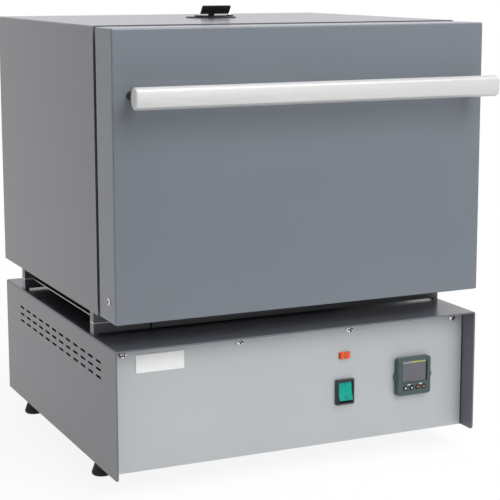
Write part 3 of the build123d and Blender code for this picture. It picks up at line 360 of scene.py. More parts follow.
def plated(name, base, roughness):
    """Bright plated fastener: faint cloudiness in colour and gloss, and painted shade where its recess is
    deep.
    """
    made = Finish(name, base, roughness, 1.0)
    cloud = made.noise(700.0, 3.0)
    # Painted shade: the colour falls to near black where ambient occlusion finds the recess deep
    hollow = made.node("ShaderNodeAmbientOcclusion", {"Distance": RECESS_SHADE_REACH}, samples=8, only_local=True)
    unshaded = made.spread(hollow.outputs["AO"], 0.55, 0.93, 0.0, 1.0)
    clouded = made.mix(cloud, made.shade(0.85), made.shade(1.1))
    made.set("Base Color", made.mix(unshaded, made.shade(0.03), clouded))
    made.vary_gloss(cloud, roughness - 0.06, roughness + 0.10)
    made.relief(made.noise(2500.0, 1.0), 0.00001)
    return made.material


def moulded(name, base, roughness, specular=0.5):
    """Moulded plastic: spark-eroded grain and slight flow marks."""
    made = Finish(name, base, roughness, Specular_IOR_Level=specular)
    flow = made.noise(60.0, 2.0)
    grain = made.noise(2600.0, 1.0)
    made.mottle(flow, 0.92, 1.08)
    made.vary_gloss(grain, roughness - 0.05, roughness + 0.06)
    made.relief(grain, 0.00002)
    return made.material


# Between these shares of its half width the lamp's lens turns dark, a painted shade for its sloping ends
LENS_SHADED_ENDS = (0.70, 0.84)


def lamp_lens(name, base, low, high):
    """Glowing moulded lens between two corners, with painted shade towards its left and right ends."""
    made = Finish(name, base, 0.25, Emission_Strength=0.05, Emission_Color=(*base, 1.0))
    middle, half = (low[0] + high[0]) / 2, (high[0] - low[0]) / 2
    across = made.node("ShaderNodeSeparateXYZ", {0: made.place}).outputs["X"]
    off_middle = made.math("ABSOLUTE", made.math("SUBTRACT", across, middle))
    ends = made.spread(off_middle, LENS_SHADED_ENDS[0] * half, LENS_SHADED_ENDS[1] * half, 0.0, 1.0)
    body = made.mix(made.noise(60.0, 2.0), made.shade(0.74), made.shade(0.88))
    # Painted shade: the colour darkens towards the lens's ends, where its sloping faces would lie in shade
    made.set("Base Color", made.mix(ends, body, made.shade(0.38)))
    made.relief(made.noise(2600.0, 1.0), 0.00002)
    return made.material


def fibre_board(name, base):
    """Ceramic-fibre board: matted fibres, pits and faint heat staining."""
    made = Finish(name, base, 0.95, Specular_IOR_Level=0.15)
    fibres = made.noise(700.0, 4.0, 0.7, (3.0, 1.0, 1.0))
    stain = made.noise(14.0, 3.0, 0.6)
    pits = made.spread(made.cells(260.0), 0.0, 0.25, 0.0, 1.0)
    made.mottle(made.math("MULTIPLY", stain, fibres), 0.78, 1.22)
    made.relief(made.math("ADD", fibres, pits), 0.0005)
    return made.material


def fired_ceramic(name, base):
    """Hard fired ceramic: fine grog specks and a dry surface."""
    made = Finish(name, base, 0.8, Specular_IOR_Level=0.3)
    grog = made.spread(made.cells(420.0), 0.05, 0.35, 0.0, 1.0)
    cloud = made.noise(22.0, 3.0)
    made.mottle(made.math("MULTIPLY", grog, made.spread(cloud, *PATTERN_RANGE, 0.6, 1.0)), 0.78, 1.06)
    made.relief(made.noise(900.0, 3.0), 0.00015)
    return made.material


def oxidised_wire(name, base):
    """Resistance wire with a dull grey-brown oxide."""
    made = Finish(name, base, 0.6, 0.7)
    scale = made.noise(900.0, 3.0)
    made.mottle(scale, 0.6, 1.5)
    made.vary_gloss(scale, 0.45, 0.75)
    made.relief(scale, 0.00005)
    return made.material


def rubber(name, base):
    """Black rubber: matt, slightly dusty, with a faint grain."""
    made = Finish(name, base, 0.7, Specular_IOR_Level=0.35)
    dust = made.noise(90.0, 4.0, 0.6)
    made.mottle(dust, 0.7, 1.7)
    made.relief(made.noise(1600.0, 2.0), 0.00004)
    return made.material


MATERIALS = {}


def dress(material, *nodes):
    """Give CAD nodes a material in place of the one they came with."""
    for name in nodes:
        node = frame["nodes"][name]
        node.data.materials.clear()
        node.data.materials.append(material)


# Surfaces on a grid


def surface(points, wrap_rows=False, wrap_columns=False):
    """Quads between neighbouring points of a rows x columns grid, wrapped round where asked."""
    rows, columns = points.shape[:2]
    row, column = np.meshgrid(np.arange(rows if wrap_rows else rows - 1),
                              np.arange(columns if wrap_columns else columns - 1), indexing="ij")
    next_row = (row + 1) % rows
    next_column = (column + 1) % columns
    quads = np.stack([row * columns + column, next_row * columns + column,
                      next_row * columns + next_column, row * columns + next_column], axis=-1)
    return points.reshape(-1, 3), quads.reshape(-1, 4)


def closed(points):
    """Tube of closed rows whose first and last row are drawn together to their middles."""
    ends = [np.broadcast_to(points[i].mean(axis=0), points[i].shape)[None] for i in (0, -1)]
    return surface(np.concatenate([ends[0], points, ends[1]]), wrap_columns=True)


def placed(local, origin, across, up, out):
    """Carry points from a piece's own axes (across, up, out) to the frame."""
    return np.asarray(origin, float) + local @ np.array([across, up, out], float)


def rounded_outline(corner_points, radii, steps=6):
    """Closed outline whose corners are quadratic curves between two points, a radius away on each side."""
    corner = np.asarray(corner_points, float)
    radius = np.broadcast_to(np.asarray(radii, float), len(corner))[:, None]
    towards_last = np.roll(corner, 1, axis=0) - corner
    towards_next = np.roll(corner, -1, axis=0) - corner
    start = corner + radius * towards_last / np.linalg.norm(towards_last, axis=1, keepdims=True)
    end = corner + radius * towards_next / np.linalg.norm(towards_next, axis=1, keepdims=True)
    t = np.linspace(0, 1, steps)[None, :, None]
    curve = (1 - t) ** 2 * start[:, None] + 2 * t * (1 - t) * corner[:, None] + t ** 2 * end[:, None]
    outline = curve.reshape(-1, 2)
    return outline[np.linalg.norm(outline - np.roll(outline, 1, axis=0), axis=1) > MERGE_DISTANCE]


def rectangle(width, height):
    """Corners of a rectangle about the origin, counter-clockwise."""
    return np.array([(-width, -height), (width, -height), (width, height), (-width, height)]) / 2


def inset(outline, amount):
    """Counter-clockwise outline moved inwards along its own normals."""
    along = np.roll(outline, -1, axis=0) - np.roll(outline, 1, axis=0)
    along /= np.linalg.norm(along, axis=1, keepdims=True)
    return outline + amount * np.stack([-along[:, 1], along[:, 0]], axis=1)


def slab_rows(outline, levels):
    """The outline at each (height, inset) level, as rows of points (across, up, out)."""
    return np.stack([np.column_stack([inset(outline, amount), np.full(len(outline), height)])
                     for height, amount in levels])


def drawn_rows(outline, levels):
    """Like slab_rows, but each row is the outline scaled about the origin by 1 - amount / half its extent.

    Its widest and highest points move in by the amount, and a tight corner never crosses itself.
    """
    half = np.abs(outline).max(axis=0)
    return np.stack([np.column_stack([outline * (1 - amount / half), np.full(len(outline), height)])
                     for height, amount in levels])


def slab(outline, levels, origin, axes):
    """Closed slab from the outline's rows at the levels, in its place."""
    return closed(placed(slab_rows(outline, levels), origin, *axes))


def around(steps):
    """Angles of a full turn."""
    return np.linspace(0, 2 * pi, steps, endpoint=False)


def turned(profile, steps):
    """Profile of (radius, out) pairs carried round the out axis."""
    profile = np.asarray(profile, float)
    turn = around(steps)
    radius = profile[:, 0][:, None]
    return np.stack([radius * np.cos(turn), radius * np.sin(turn),
                     np.broadcast_to(profile[:, 1][:, None], (len(profile), steps))], axis=-1)


def turned_ring(profile, steps, origin, axes):
    """Ring whose section is a closed profile of (radius, out) pairs, in its place."""
    return surface(placed(turned(profile, steps), origin, *axes), True, True)


def rounded_run(run, radius, steps=5):
    """(height, inset) levels of a bar of a length whose edges at both ends are quarter circles."""
    turn = np.linspace(0, pi / 2, steps)
    out = radius * np.sin(turn)
    inwards = radius * (1 - np.cos(turn))
    levels = [(radius - o, i) for o, i in zip(out[::-1], inwards[::-1])]
    return levels + [(run - radius + o, i) for o, i in zip(out, inwards)]


def make_piece(name, shapes, material, body="furnace", stands_for=()):
    """One mesh object from grid surfaces, with seams merged, normals outwards and sharp edges kept."""
    offsets = np.cumsum([0] + [len(points) for points, _ in shapes])
    points = np.concatenate([points for points, _ in shapes])
    quads = np.concatenate([quads + offset for (_, quads), offset in zip(shapes, offsets)])
    mesh = bpy.data.meshes.new(name)
    mesh.from_pydata(points.tolist(), [], quads.tolist())
    made = bmesh.new()
    made.from_mesh(mesh)
    bmesh.ops.remove_doubles(made, verts=made.verts, dist=MERGE_DISTANCE)
    bmesh.ops.recalc_face_normals(made, faces=made.faces)
    made.to_mesh(mesh)
    made.free()
    mesh.materials.append(MATERIALS[material])
    mesh.shade_smooth()
    mesh.set_sharp_from_angle(angle=SHARP_ANGLE)
    piece = bpy.data.objects.new(name, mesh)
    bpy.context.scene.collection.objects.link(piece)
    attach(piece, body)
    if stands_for:
        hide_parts(*stands_for)


# A piece's own axes (across, up, out) on each side of the furnace, and along a bar that runs to the right
FRONT = ((1, 0, 0), (0, 0, 1), (0, -1, 0))
REAR = ((-1, 0, 0), (0, 0, 1), (0, 1, 0))
LEFT = ((0, -1, 0), (0, 0, 1), (-1, 0, 0))
RIGHT = ((0, 1, 0), (0, 0, 1), (1, 0, 0))
FRONT_TO_RIGHT = ((0, -1, 0), (0, 0, 1), (1, 0, 0))

# A cross-recessed head's face falls to its rim by this share of the head's height
FACE_FALL = 0.55
# An arm of the recess ends at the first share of the head's radius and runs out over the second
ARM_END = 0.76
ARM_RUN_OUT = 0.12
# Each sloping wall of the recess takes this share of the arm's width
WALL_SLOPE = 0.16
FACE_RINGS = 26
# Radius of a hexagon head's flat top, as a share of its width
HEXAGON_FLAT = 0.44


def cross_screw(origin, axes, radius, height, shank, turn, fine):
    """Screw with a domed head, a cross recess and a plain shank of a (radius, length).

    Over radius r and angle a the face stands at height * (1 - (r / radius) ** 4 * FACE_FALL), less the
    recess. The recess is full depth where a point lies within half an arm of either axis of the cross, which
    is itself turned by an angle, and runs out towards the arm's end. The stem's rim, the shank's two rims
    and its middle close the shape.
    """
    arm, steps = fine.recess_arm, 2 * fine.turns_around
    r = np.linspace(0, 1, FACE_RINGS)[:, None] * radius
    a = around(steps)[None, :]
    near_axis = np.minimum(np.abs(r * np.cos(a)), np.abs(r * np.sin(a)))
    x = r * np.cos(a + turn)
    y = r * np.sin(a + turn)
    face = height * (1 - FACE_FALL * (r / radius) ** 4) * np.ones_like(a)
    along = np.clip((ARM_END * radius - r) / (ARM_RUN_OUT * radius), 0, 1)
    recess = np.clip((arm / 2 - near_axis) / (arm * WALL_SLOPE) + 0.5, 0, 1) * along
    dome = np.stack([x, y, face - fine.recess_depth * recess], axis=-1)
    stem = turned([(radius, 0), (shank[0], 0), (shank[0], -shank[1]), (0, -shank[1])], steps)
    return surface(placed(np.concatenate([dome, stem]), origin, *axes), wrap_columns=True)


def hexagon_screw(origin, axes, width, height, shank, steps=6):
    """Hexagon screw with a plain shank of a (radius, length).

    The outline's radius is width / 2 / cos of the angle from the middle of its flat, and the face falls 30
    degrees outside a circle a little smaller than the one that touches the flats.
    """
    turn = around(6 * steps)
    outline = width / 2 / np.cos((turn % (pi / 3)) - pi / 6)
    flat = HEXAGON_FLAT * width
    drop = (outline - flat) * tan(pi / 6)
    rows = [(0, height), (flat, height), (outline, height - drop), (outline, 0), (shank[0], 0),
            (shank[0], -shank[1]), (0, -shank[1])]
    grid = np.stack([np.stack([r * np.cos(turn), r * np.sin(turn), h + 0 * turn], axis=-1)
                     for r, h in rows])
    return surface(placed(grid, origin, *axes), wrap_columns=True)


# Operators


class FURNACE_OT_finishes(bpy.types.Operator):
    """Make every finish and give the carried-over nodes theirs"""

    bl_idname = "furnace.finishes"
    bl_label = "Finishes"

    def execute(self, context):
        paints = context.scene.furnace_paints
        plastics = context.scene.furnace_plastics
        ceramics = context.scene.furnace_ceramics
        finishes = {
            "case_paint": (powder_coat, paints.case, 0.24, paints.peel),
            "door_paint": (powder_coat, paints.door, 0.24, paints.peel),
            "rail_paint": (powder_coat, paints.rails, 0.24, paints.peel),
            "panel_silver": (brushed_metal, paints.panel, 0.46, (8.0, 1.0, 1.0), 0.3),
            "handle_metal": (brushed_metal, paints.handle, 0.42, (40.0, 1.0, 1.0), 0.35),
            "plain_steel": (brushed_metal, paints.steel, 0.36),
            "shield_steel": (shield_steel, paints.shield, 0.5, paints.handle),
            "fasteners": (plated, paints.fasteners, 0.22),
            "black_metal": (powder_coat, paints.black, 0.35, paints.peel, 0.25),
            "black_plastic": (moulded, plastics.housing, 0.38, 0.3),
            "controller_plastic": (moulded, plastics.controller, 0.34),
            "display_glass": (moulded, plastics.display, 0.16),
            "display_header": (moulded, plastics.header, 0.4),
            "header_green": (moulded, plastics.header_green, 0.4),
            "rocker_green": (moulded, plastics.rocker, 0.3, 0.25),
            "engraved_marks": (moulded, plastics.engraved, 0.5),
            "white_marks": (moulded, plastics.marks, 0.5),
            "alarm_marks": (moulded, plastics.alarm, 0.5),
            "lamp_orange": (lamp_lens, plastics.lamp, *corners("lamp_lens")),
            "lamp_ring": (moulded, plastics.lamp_ring, 0.3),
            "badge_white": (moulded, plastics.badge, 0.35),
            "foot_rubber": (rubber, plastics.rubber),
            "fibre_board": (fibre_board, ceramics.board),
            "hard_ceramic": (fired_ceramic, ceramics.hard),
            "element_wire": (oxidised_wire, ceramics.wire),
        }
        for name, (finish, *values) in finishes.items():
            MATERIALS[name] = finish(name, *values)
        for part in frame["record"]["subparts"]:
            dress(MATERIALS[part["material_slot"]], part["node"])
        dress(MATERIALS["shield_steel"], "heat_shield")
        return {"FINISHED"}


class FURNACE_OT_screws(bpy.types.Operator):
    """Cross-recessed panel and hinge screws, and the rear's hexagon bolts"""

    bl_idname = "furnace.screws"
    bl_label = "Screws"

    TURNS = np.radians([35.0, 80.0, 10.0, 60.0])
    # Heights that part the rear bolts into their four rows of two
    REAR_LEVELS = (0.1, 0.2, 0.4)
    REAR_BOLTS = 8
    REAR_AXES = ((0, 0, 1), (1, 0, 0), (0, 1, 0))

    def execute(self, context):
        fine = context.scene.furnace_fine
        self.panel_screws(fine)
        self.hinge_screws(fine)
        self.rear_bolts(fine)
        return {"FINISHED"}

    def panel_screws(self, fine):
        """Screws evenly spaced between the outermost two, each turned as it was left."""
        low, high = corners("panel_screws")
        panel_y = corners("base_front_panel")[0][1]
        radius, z = (high[2] - low[2]) / 2, (high[2] + low[2]) / 2
        shank = (fine.screw_shank / 2, high[1] - panel_y)
        xs = np.linspace(low[0] + radius, high[0] - radius, len(self.TURNS))
        screws = [cross_screw((x, panel_y, z), FRONT, radius, panel_y - low[1], shank, turn, fine)
                  for x, turn in zip(xs, self.TURNS)]
        make_piece("panel_cross_screws", screws, "fasteners", "furnace", ["panel_screws"])

    def hinge_screws(self, fine):
        """One screw on each side of the door, its shank as long as the CAD pin."""
        low, high = corners("hinge_pins")
        left, right = (corner[0] for corner in corners("door_skin"))
        _, y, z = (low + high) / 2
        radius = (high[2] - low[2]) / 2
        shank = (fine.hinge_shank / 2, right - np.abs(node_points("hinge_pins")[:, 0]).min())
        pins = [cross_screw((x, y, z), axes, radius, high[0] - right, shank, turn, fine)
                for x, axes, turn in ((left, LEFT, self.TURNS[0]), (right, RIGHT, self.TURNS[1]))]
        make_piece("hinge_cross_screws", pins, "fasteners", "door", ["hinge_pins"])

    def rear_bolts(self, fine):
        """Bolts where the CAD node has its solids, found by height and side."""
        points = node_points("rear_screws")
        place = 2 * np.searchsorted(self.REAR_LEVELS, points[:, 2]) + (points[:, 0] > 0)
        bolts = []
        for index in range(self.REAR_BOLTS):
            low, high = points[place == index].min(axis=0), points[place == index].max(axis=0)
            x, _, z = (low + high) / 2
            head = fine.bolt_head
            under = high[1] - head
            shank = (fine.screw_shank / 2, under - low[1])
            bolts.append(hexagon_screw((x, under, z), self.REAR_AXES, high[0] - low[0], head, shank))
        make_piece("rear_bolts", bolts, "fasteners", "furnace", ["rear_screws"])


class FURNACE_OT_handle(bpy.types.Operator):
    """Handle bar with soft edges and closed ends"""

    bl_idname = "furnace.handle"
    bl_label = "Handle bar"

    BACK_STEPS = 25
    # How many times sharper than the bar's ends the two edges of its flat front are
    FLAT_SHARPER = 3

    def execute(self, context):
        fine = context.scene.furnace_fine
        low, high = corners("handle_bar")
        run, depth, height = high - low
        back = depth / 2 - fine.handle_bevel
        turn = np.linspace(0, pi, self.BACK_STEPS)
        section = np.concatenate([
            [(depth / 2, -fine.handle_flat / 2), (depth / 2, fine.handle_flat / 2)],
            np.column_stack([back - (back + depth / 2) * np.sin(turn), height / 2 * np.cos(turn)]),
        ])
        flat_corner = np.arange(len(section)) < 2
        radii = np.where(flat_corner, fine.handle_round / self.FLAT_SHARPER, 0)
        outline = rounded_outline(section, radii, steps=4)
        rows = drawn_rows(outline, rounded_run(run, fine.handle_round))
        _, y, z = (low + high) / 2
        make_piece("handle_bar_soft", [closed(placed(rows, (low[0], y, z), *FRONT_TO_RIGHT))],
                   "handle_metal", "door", ["handle_bar"])
        return {"FINISHED"}


class FURNACE_OT_switch(bpy.types.Operator):
    """Rocker with its marks, and the pilot lamp's lens"""

    bl_idname = "furnace.switch"
    bl_label = "Rocker and lamp"

    # The rocker's section as shares of its box (depth, height), the rounding of each of its corners,
    # and how far a pin stands out at each end of the rocker
    PROFILE = np.array([(0.0, 0.0189), (0.514, 0.0), (0.8247, 0.1862), (1.0, 0.6768), (0.8402, 0.9128),
                        (0.3506, 1.0), (0.2694, 0.4995)])
    SOFT = np.array([0.0007, 0.0007, 0.001, 0.001, 0.001, 0.0007, 0.0045])
    PIN = 0.0012
    EDGE = 0.0006
    # Width and height of the bar, inner and outer radius of the ring, and how far up its face each stands
    ON_BAR = (0.0011, 0.0042)
    OFF_RING = (0.0011, 0.0020)
    ON_PLACE = 0.72
    OFF_PLACE = 0.30
    BAR_CORNER = 0.0002
    BAR_EDGE = 0.0001
    # Rows of the lens: height as a share of the depth, how much narrower and how much lower than the base
    LENS = [(0, 0, 0), (0.30, 0, 0), (0.36, 0.0001, 0.0001), (0.80, 0.0014, 0.0002), (0.90, 0.0018, 0.0004),
            (0.96, 0.0021, 0.0007), (0.96, 0.0025, 0.0011)]
    LENS_CORNER = 0.0006
    # The lens's ring: its radius, and its section's half width and half height
    RING_RADIUS = 0.0021
    RING_SECTION = (0.00045, 0.0003)
    RING_SINK = 0.0001
    # Steps round the off mark, the lens's ring and that ring's section
    OFF_STEPS = 32
    RING_STEPS = 40
    SECTION_STEPS = 12

    def execute(self, context):
        fine = context.scene.furnace_fine
        low, high = corners("switch_rocker")
        section = low[1:] + self.PROFILE * (high - low)[1:]
        run = high[0] - low[0] - 2 * self.PIN
        rocker = slab(rounded_outline(section, self.SOFT), rounded_run(run, self.EDGE),
                      (low[0] + self.PIN, 0, 0), RIGHT)
        make_piece("rocker_soft", [rocker], "rocker_green", "rocker", ["switch_rocker"])
        bottom, top, valley = section[0], section[5], section[6]
        middle = (low[0] + high[0]) / 2
        upper_face = self.on_face(middle, valley, top, self.ON_PLACE)
        lower_face = self.on_face(middle, bottom, valley, self.OFF_PLACE)
        proud = fine.mark_height
        bar = rounded_outline(rectangle(*self.ON_BAR), self.BAR_CORNER)
        inner, outer = self.OFF_RING
        ring = [(inner, 0), (inner, proud), (outer, proud), (outer, 0)]
        marks = [slab(bar, [(0, 0), (proud, self.BAR_EDGE)], *upper_face),
                 turned_ring(ring, self.OFF_STEPS, *lower_face)]
        make_piece("rocker_marks", marks, "engraved_marks", "rocker")
        self.lamp()
        return {"FINISHED"}

    def on_face(self, middle, start, end, place):
        """Origin and axes for a mark, a share of the way from start to end of one of the rocker's faces."""
        along = (end - start) / np.linalg.norm(end - start)
        origin = (middle, *(start + place * (end - start)))
        return origin, ((1, 0, 0), (0, *along), (0, -along[1], along[0]))

    def lamp(self):
        """Lens with sloping ends, a stack of rounded rectangles, and its moulded ring."""
        low, high = corners("lamp_lens")
        width, depth, height = high - low
        rows = []
        for share_out, across, up in self.LENS:
            outline = rounded_outline(rectangle(width - 2 * across, height - 2 * up), self.LENS_CORNER)
            rows.append(np.column_stack([outline, np.full(len(outline), share_out * depth)]))
        x, _, z = (low + high) / 2
        origin = (x, high[1], z)
        make_piece("lamp_lens_soft", [closed(placed(np.stack(rows), origin, *FRONT))], "lamp_orange",
                   "furnace", ["lamp_lens"])
        turn = around(self.SECTION_STEPS)
        half_width, half_height = self.RING_SECTION
        ring = np.column_stack([self.RING_RADIUS + half_width * np.cos(turn),
                                depth - self.RING_SINK + half_height * np.sin(turn)])
        ring[:, 1] = np.minimum(ring[:, 1], depth)
        make_piece("lamp_ring", [turned_ring(ring, self.RING_STEPS, origin, FRONT)], "lamp_ring")


class FURNACE_OT_controller(bpy.types.Operator):
    """Window lip, display header, key marks and painted shadow rims of the controller, and the panel's
    painted gap shadows
    """

    bl_idname = "furnace.controller"
    bl_label = "Controller and panel edges"

    WINDOW_CORNER = 0.0012
    # How far up the lip its inner wall goes, as a share, and how far out its crest and its long slope start
    LIP_WALL = 0.8
    LIP_CREST = 0.0003
    LIP_SLOPE = 0.0007
    HEADER_INSET = 0.0006
    HEADER_SPLIT = 0.34
    HEADER_THICK = 0.0003
    WINDOW_SHADOW_THICK = 0.0004
    GAP_SHADOW_THICK = 0.0002
    # The prints under the window: their places across it, and their width and height
    PRINTS = (("left_print", 0.26), ("right_print", 0.74))
    PRINT_SIZE = (0.0042, 0.0009)
    # How far a mark's or a rim's foot lies under the face that carries it
    SINK = 0.0001
    TRIANGLE = 0.0013 * np.array([(-1.0, -0.75), (1.0, -0.75), (0.0, 0.95)])
    KEY_SHAPES = {
        "key_page": (rectangle(0.0018, 0.0024), "white_marks"),
        "key_scroll": (0.0012 * np.array([(-1, 0), (0, -1), (1, 0), (0, 1)]), "white_marks"),
        "key_down": (TRIANGLE[::-1] * (1, -1), "alarm_marks"),
        "key_up": (TRIANGLE, "alarm_marks"),
    }
    MARK_OFFSET = 0.0004
    MARK_CORNER = 0.0003
    MARK_EDGE = 0.00005
    # Share of a key's painted shadow rim's width that is level, before it falls to the face
    SHADOW_RIM_TOP = 0.6
    # A plate's corner as a share of its shorter side, and its edge as a share of its thickness
    PLATE_CORNER = 0.15
    PLATE_EDGE = 0.3

    def execute(self, context):
        fine = context.scene.furnace_fine
        face_y = corners("controller_bezel")[0][1]
        self.window(fine, face_y)
        self.keys(fine, face_y)
        self.panel_gap_shadows(fine)
        return {"FINISHED"}

    def window(self, fine, face_y):
        """Lip round the window, the header's two strips, a painted shadow strip at its right side and the
        prints below.
        """
        low, high = corners("controller_display")
        width, _, height = high - low
        x, _, z = (low + high) / 2
        outline = rounded_outline(rectangle(width, height), self.WINDOW_CORNER)
        deep = low[1] - face_y
        wall = fine.lip_height * self.LIP_WALL
        levels = [(-deep, 0), (wall, 0), (fine.lip_height, -self.LIP_CREST), (wall, -self.LIP_SLOPE),
                  (0, -fine.lip_width), (-deep, -fine.lip_width)]
        rows = placed(slab_rows(outline, levels), (x, face_y, z), *FRONT)
        lip = surface(rows, True, True)
        make_piece("window_lip", [lip], "controller_plastic", "furnace")
        left, right = low[0] + self.HEADER_INSET, high[0] - self.HEADER_INSET
        split = low[0] + width * self.HEADER_SPLIT
        strip_z = high[2] - self.HEADER_INSET - fine.header_height / 2
        for name, material, start, end in (("header_grey", "display_header", left, split),
                                           ("header_strip", "header_green", split, right)):
            self.plate(name, material, (start + end) / 2, strip_z, end - start, fine.header_height, low[1],
                       self.HEADER_THICK)
        # Painted shadow: a black strip where the window's recessed right wall lies in shade
        self.plate("window_side", "black_plastic", high[0] - fine.window_shadow / 2, z, fine.window_shadow,
                   height, low[1], self.WINDOW_SHADOW_THICK)
        print_z = (corners("key_page")[1][2] + low[2] - fine.lip_width) / 2
        for name, place in self.PRINTS:
            self.plate(name, "white_marks", low[0] + width * place, print_z, *self.PRINT_SIZE, face_y,
                       fine.mark_height)

    def keys(self, fine, face_y):
        """A mark on each key and a dark rim round it, a painted shadow for the key's recess."""
        low, high = corners("key_page")
        key_y, z = low[1], (low[2] + high[2]) / 2
        proud, sunk = fine.mark_height, -self.SINK
        shadow_rims = []
        for node, (shape, material) in self.KEY_SHAPES.items():
            low, high = corners(node)
            x = (low[0] + high[0]) / 2
            mark = slab(rounded_outline(shape, self.MARK_CORNER), [(sunk, 0), (proud, self.MARK_EDGE)],
                        (x + self.MARK_OFFSET, key_y, z), FRONT)
            make_piece(node + "_mark", [mark], material, node)
            inner = (high[0] - low[0]) / 2 + fine.key_gap
            ring = [(inner, sunk), (inner, proud), (inner + fine.key_shadow_rim * self.SHADOW_RIM_TOP, proud),
                    (inner + fine.key_shadow_rim, sunk)]
            shadow_rims.append(turned_ring(ring, fine.turns_around, (x, face_y, z), FRONT))
        make_piece("key_rims", shadow_rims, "black_plastic")

    def panel_gap_shadows(self, fine):
        """Painted shadow strips on the panel's face along its two sides, standing for the shaded gap where it
        meets the cover.
        """
        low, high = corners("base_front_panel")
        top = corners("base_cover")[1][2] - fine.panel_gap_shadow_drop
        for name, x in (("panel_edge_left", low[0] + fine.panel_gap_shadow / 2),
                        ("panel_edge_right", high[0] - fine.panel_gap_shadow / 2)):
            self.plate(name, "black_plastic", x, (low[2] + top) / 2, fine.panel_gap_shadow, top - low[2], low[1],
                       self.GAP_SHADOW_THICK)

    def plate(self, name, material, x, z, width, height, y, thick):
        """Thin plate with soft corners and edges, standing proud of a face that looks to the front."""
        outline = rounded_outline(rectangle(width, height), min(width, height) * self.PLATE_CORNER)
        levels = [(-self.SINK, 0), (thick * (1 - self.PLATE_EDGE), 0), (thick, thick * self.PLATE_EDGE)]
        make_piece(name, [slab(outline, levels, (x, y, z), FRONT)], material)


class FURNACE_OT_coils(bpy.types.Operator):
    """Coiled resistance wire in the grooves of the heater plates"""

    bl_idname = "furnace.coils"
    bl_label = "Heating coils"

    PASSES = 6
    # A coil's straight lead: its radius as a share of the coil's diameter, and its bevel as a share of that
    LEAD_RADIUS = 0.22
    LEAD_BEVEL = 0.3
    LEAD_STEPS = 12
    BEND_STEPS = 17

    def execute(self, context):
        fine = context.scene.furnace_fine
        for side in ("left", "right"):
            low, high = corners("heating_coil_" + side)
            rear = corners("heater_plate_" + side)[1][1] - fine.coil_end_margin
            front = low[1] + fine.coil_diameter / 2
            x, _, middle = (low + high) / 2
            rows = middle + (np.arange(self.PASSES) - (self.PASSES - 1) / 2) * fine.coil_pitch
            path = self.serpentine(front, rear, rows, fine.coil_pitch / 2)
            shapes = [self.coil(path, x, (fine.coil_diameter - fine.wire_diameter) / 2,
                                fine.wire_diameter / 2, fine.coil_step)]
            lead = high[1] - rear
            radius = fine.coil_diameter * self.LEAD_RADIUS
            bevel = radius * self.LEAD_BEVEL
            profile = [(0, 0), (radius - bevel, 0), (radius, bevel), (radius, lead - bevel),
                       (radius - bevel, lead), (0, lead)]
            local = turned(profile, self.LEAD_STEPS)
            shapes += [surface(placed(local, (x, rear, z), *REAR), wrap_columns=True)
                       for z in (rows[0], rows[-1])]
            make_piece("coil_wire_" + side, shapes, "element_wire", "furnace",
                       ["heating_coil_" + side])
        return {"FINISHED"}

    def serpentine(self, front, rear, rows, radius):
        """Path (y, z): straight passes joined by half circles, first and last ending at the rear."""
        turn = np.linspace(0, pi, self.BEND_STEPS)
        parts = [[(rear, rows[0])]]
        for index, z in enumerate(rows[:-1]):
            at_front = index % 2 == 0
            centre = front + radius if at_front else rear - radius
            swing = -radius if at_front else radius
            parts.append(np.column_stack([centre + swing * np.sin(turn), z + radius - radius * np.cos(turn)]))
        parts.append([(rear, rows[-1])])
        return np.concatenate(parts)

    def coil(self, path, x, radius, wire, step, per_turn=14, sides=5):
        """Wire wound round a path.

        At distance s the wire's middle is the path plus radius * (cos p * sideways + sin p * across), where
        p = 2 pi s / step, sideways is the x axis and across is square to it and to the path.
        """
        reach = np.concatenate([[0], np.cumsum(np.linalg.norm(np.diff(path, axis=0), axis=1))])
        s = np.linspace(0, reach[-1], int(reach[-1] / step * per_turn))
        middle = np.column_stack([np.full(len(s), x), np.interp(s, reach, path[:, 0]),
                                  np.interp(s, reach, path[:, 1])])
        along = np.gradient(middle, axis=0)
        along /= np.linalg.norm(along, axis=1, keepdims=True)
        sideways = np.array([1.0, 0.0, 0.0])
        across = np.cross(along, sideways)
        phase = (2 * pi * s / step)[:, None]
        radial = np.cos(phase) * sideways + np.sin(phase) * across
        wire_middle = middle + radius * radial
        run = np.gradient(wire_middle, axis=0)
        run /= np.linalg.norm(run, axis=1, keepdims=True)
        third = np.cross(run, radial)
        turn = around(sides)[None, :, None]
        round_wire = np.cos(turn) * radial[:, None] + np.sin(turn) * third[:, None]
        return closed(wire_middle[:, None] + wire * round_wire)


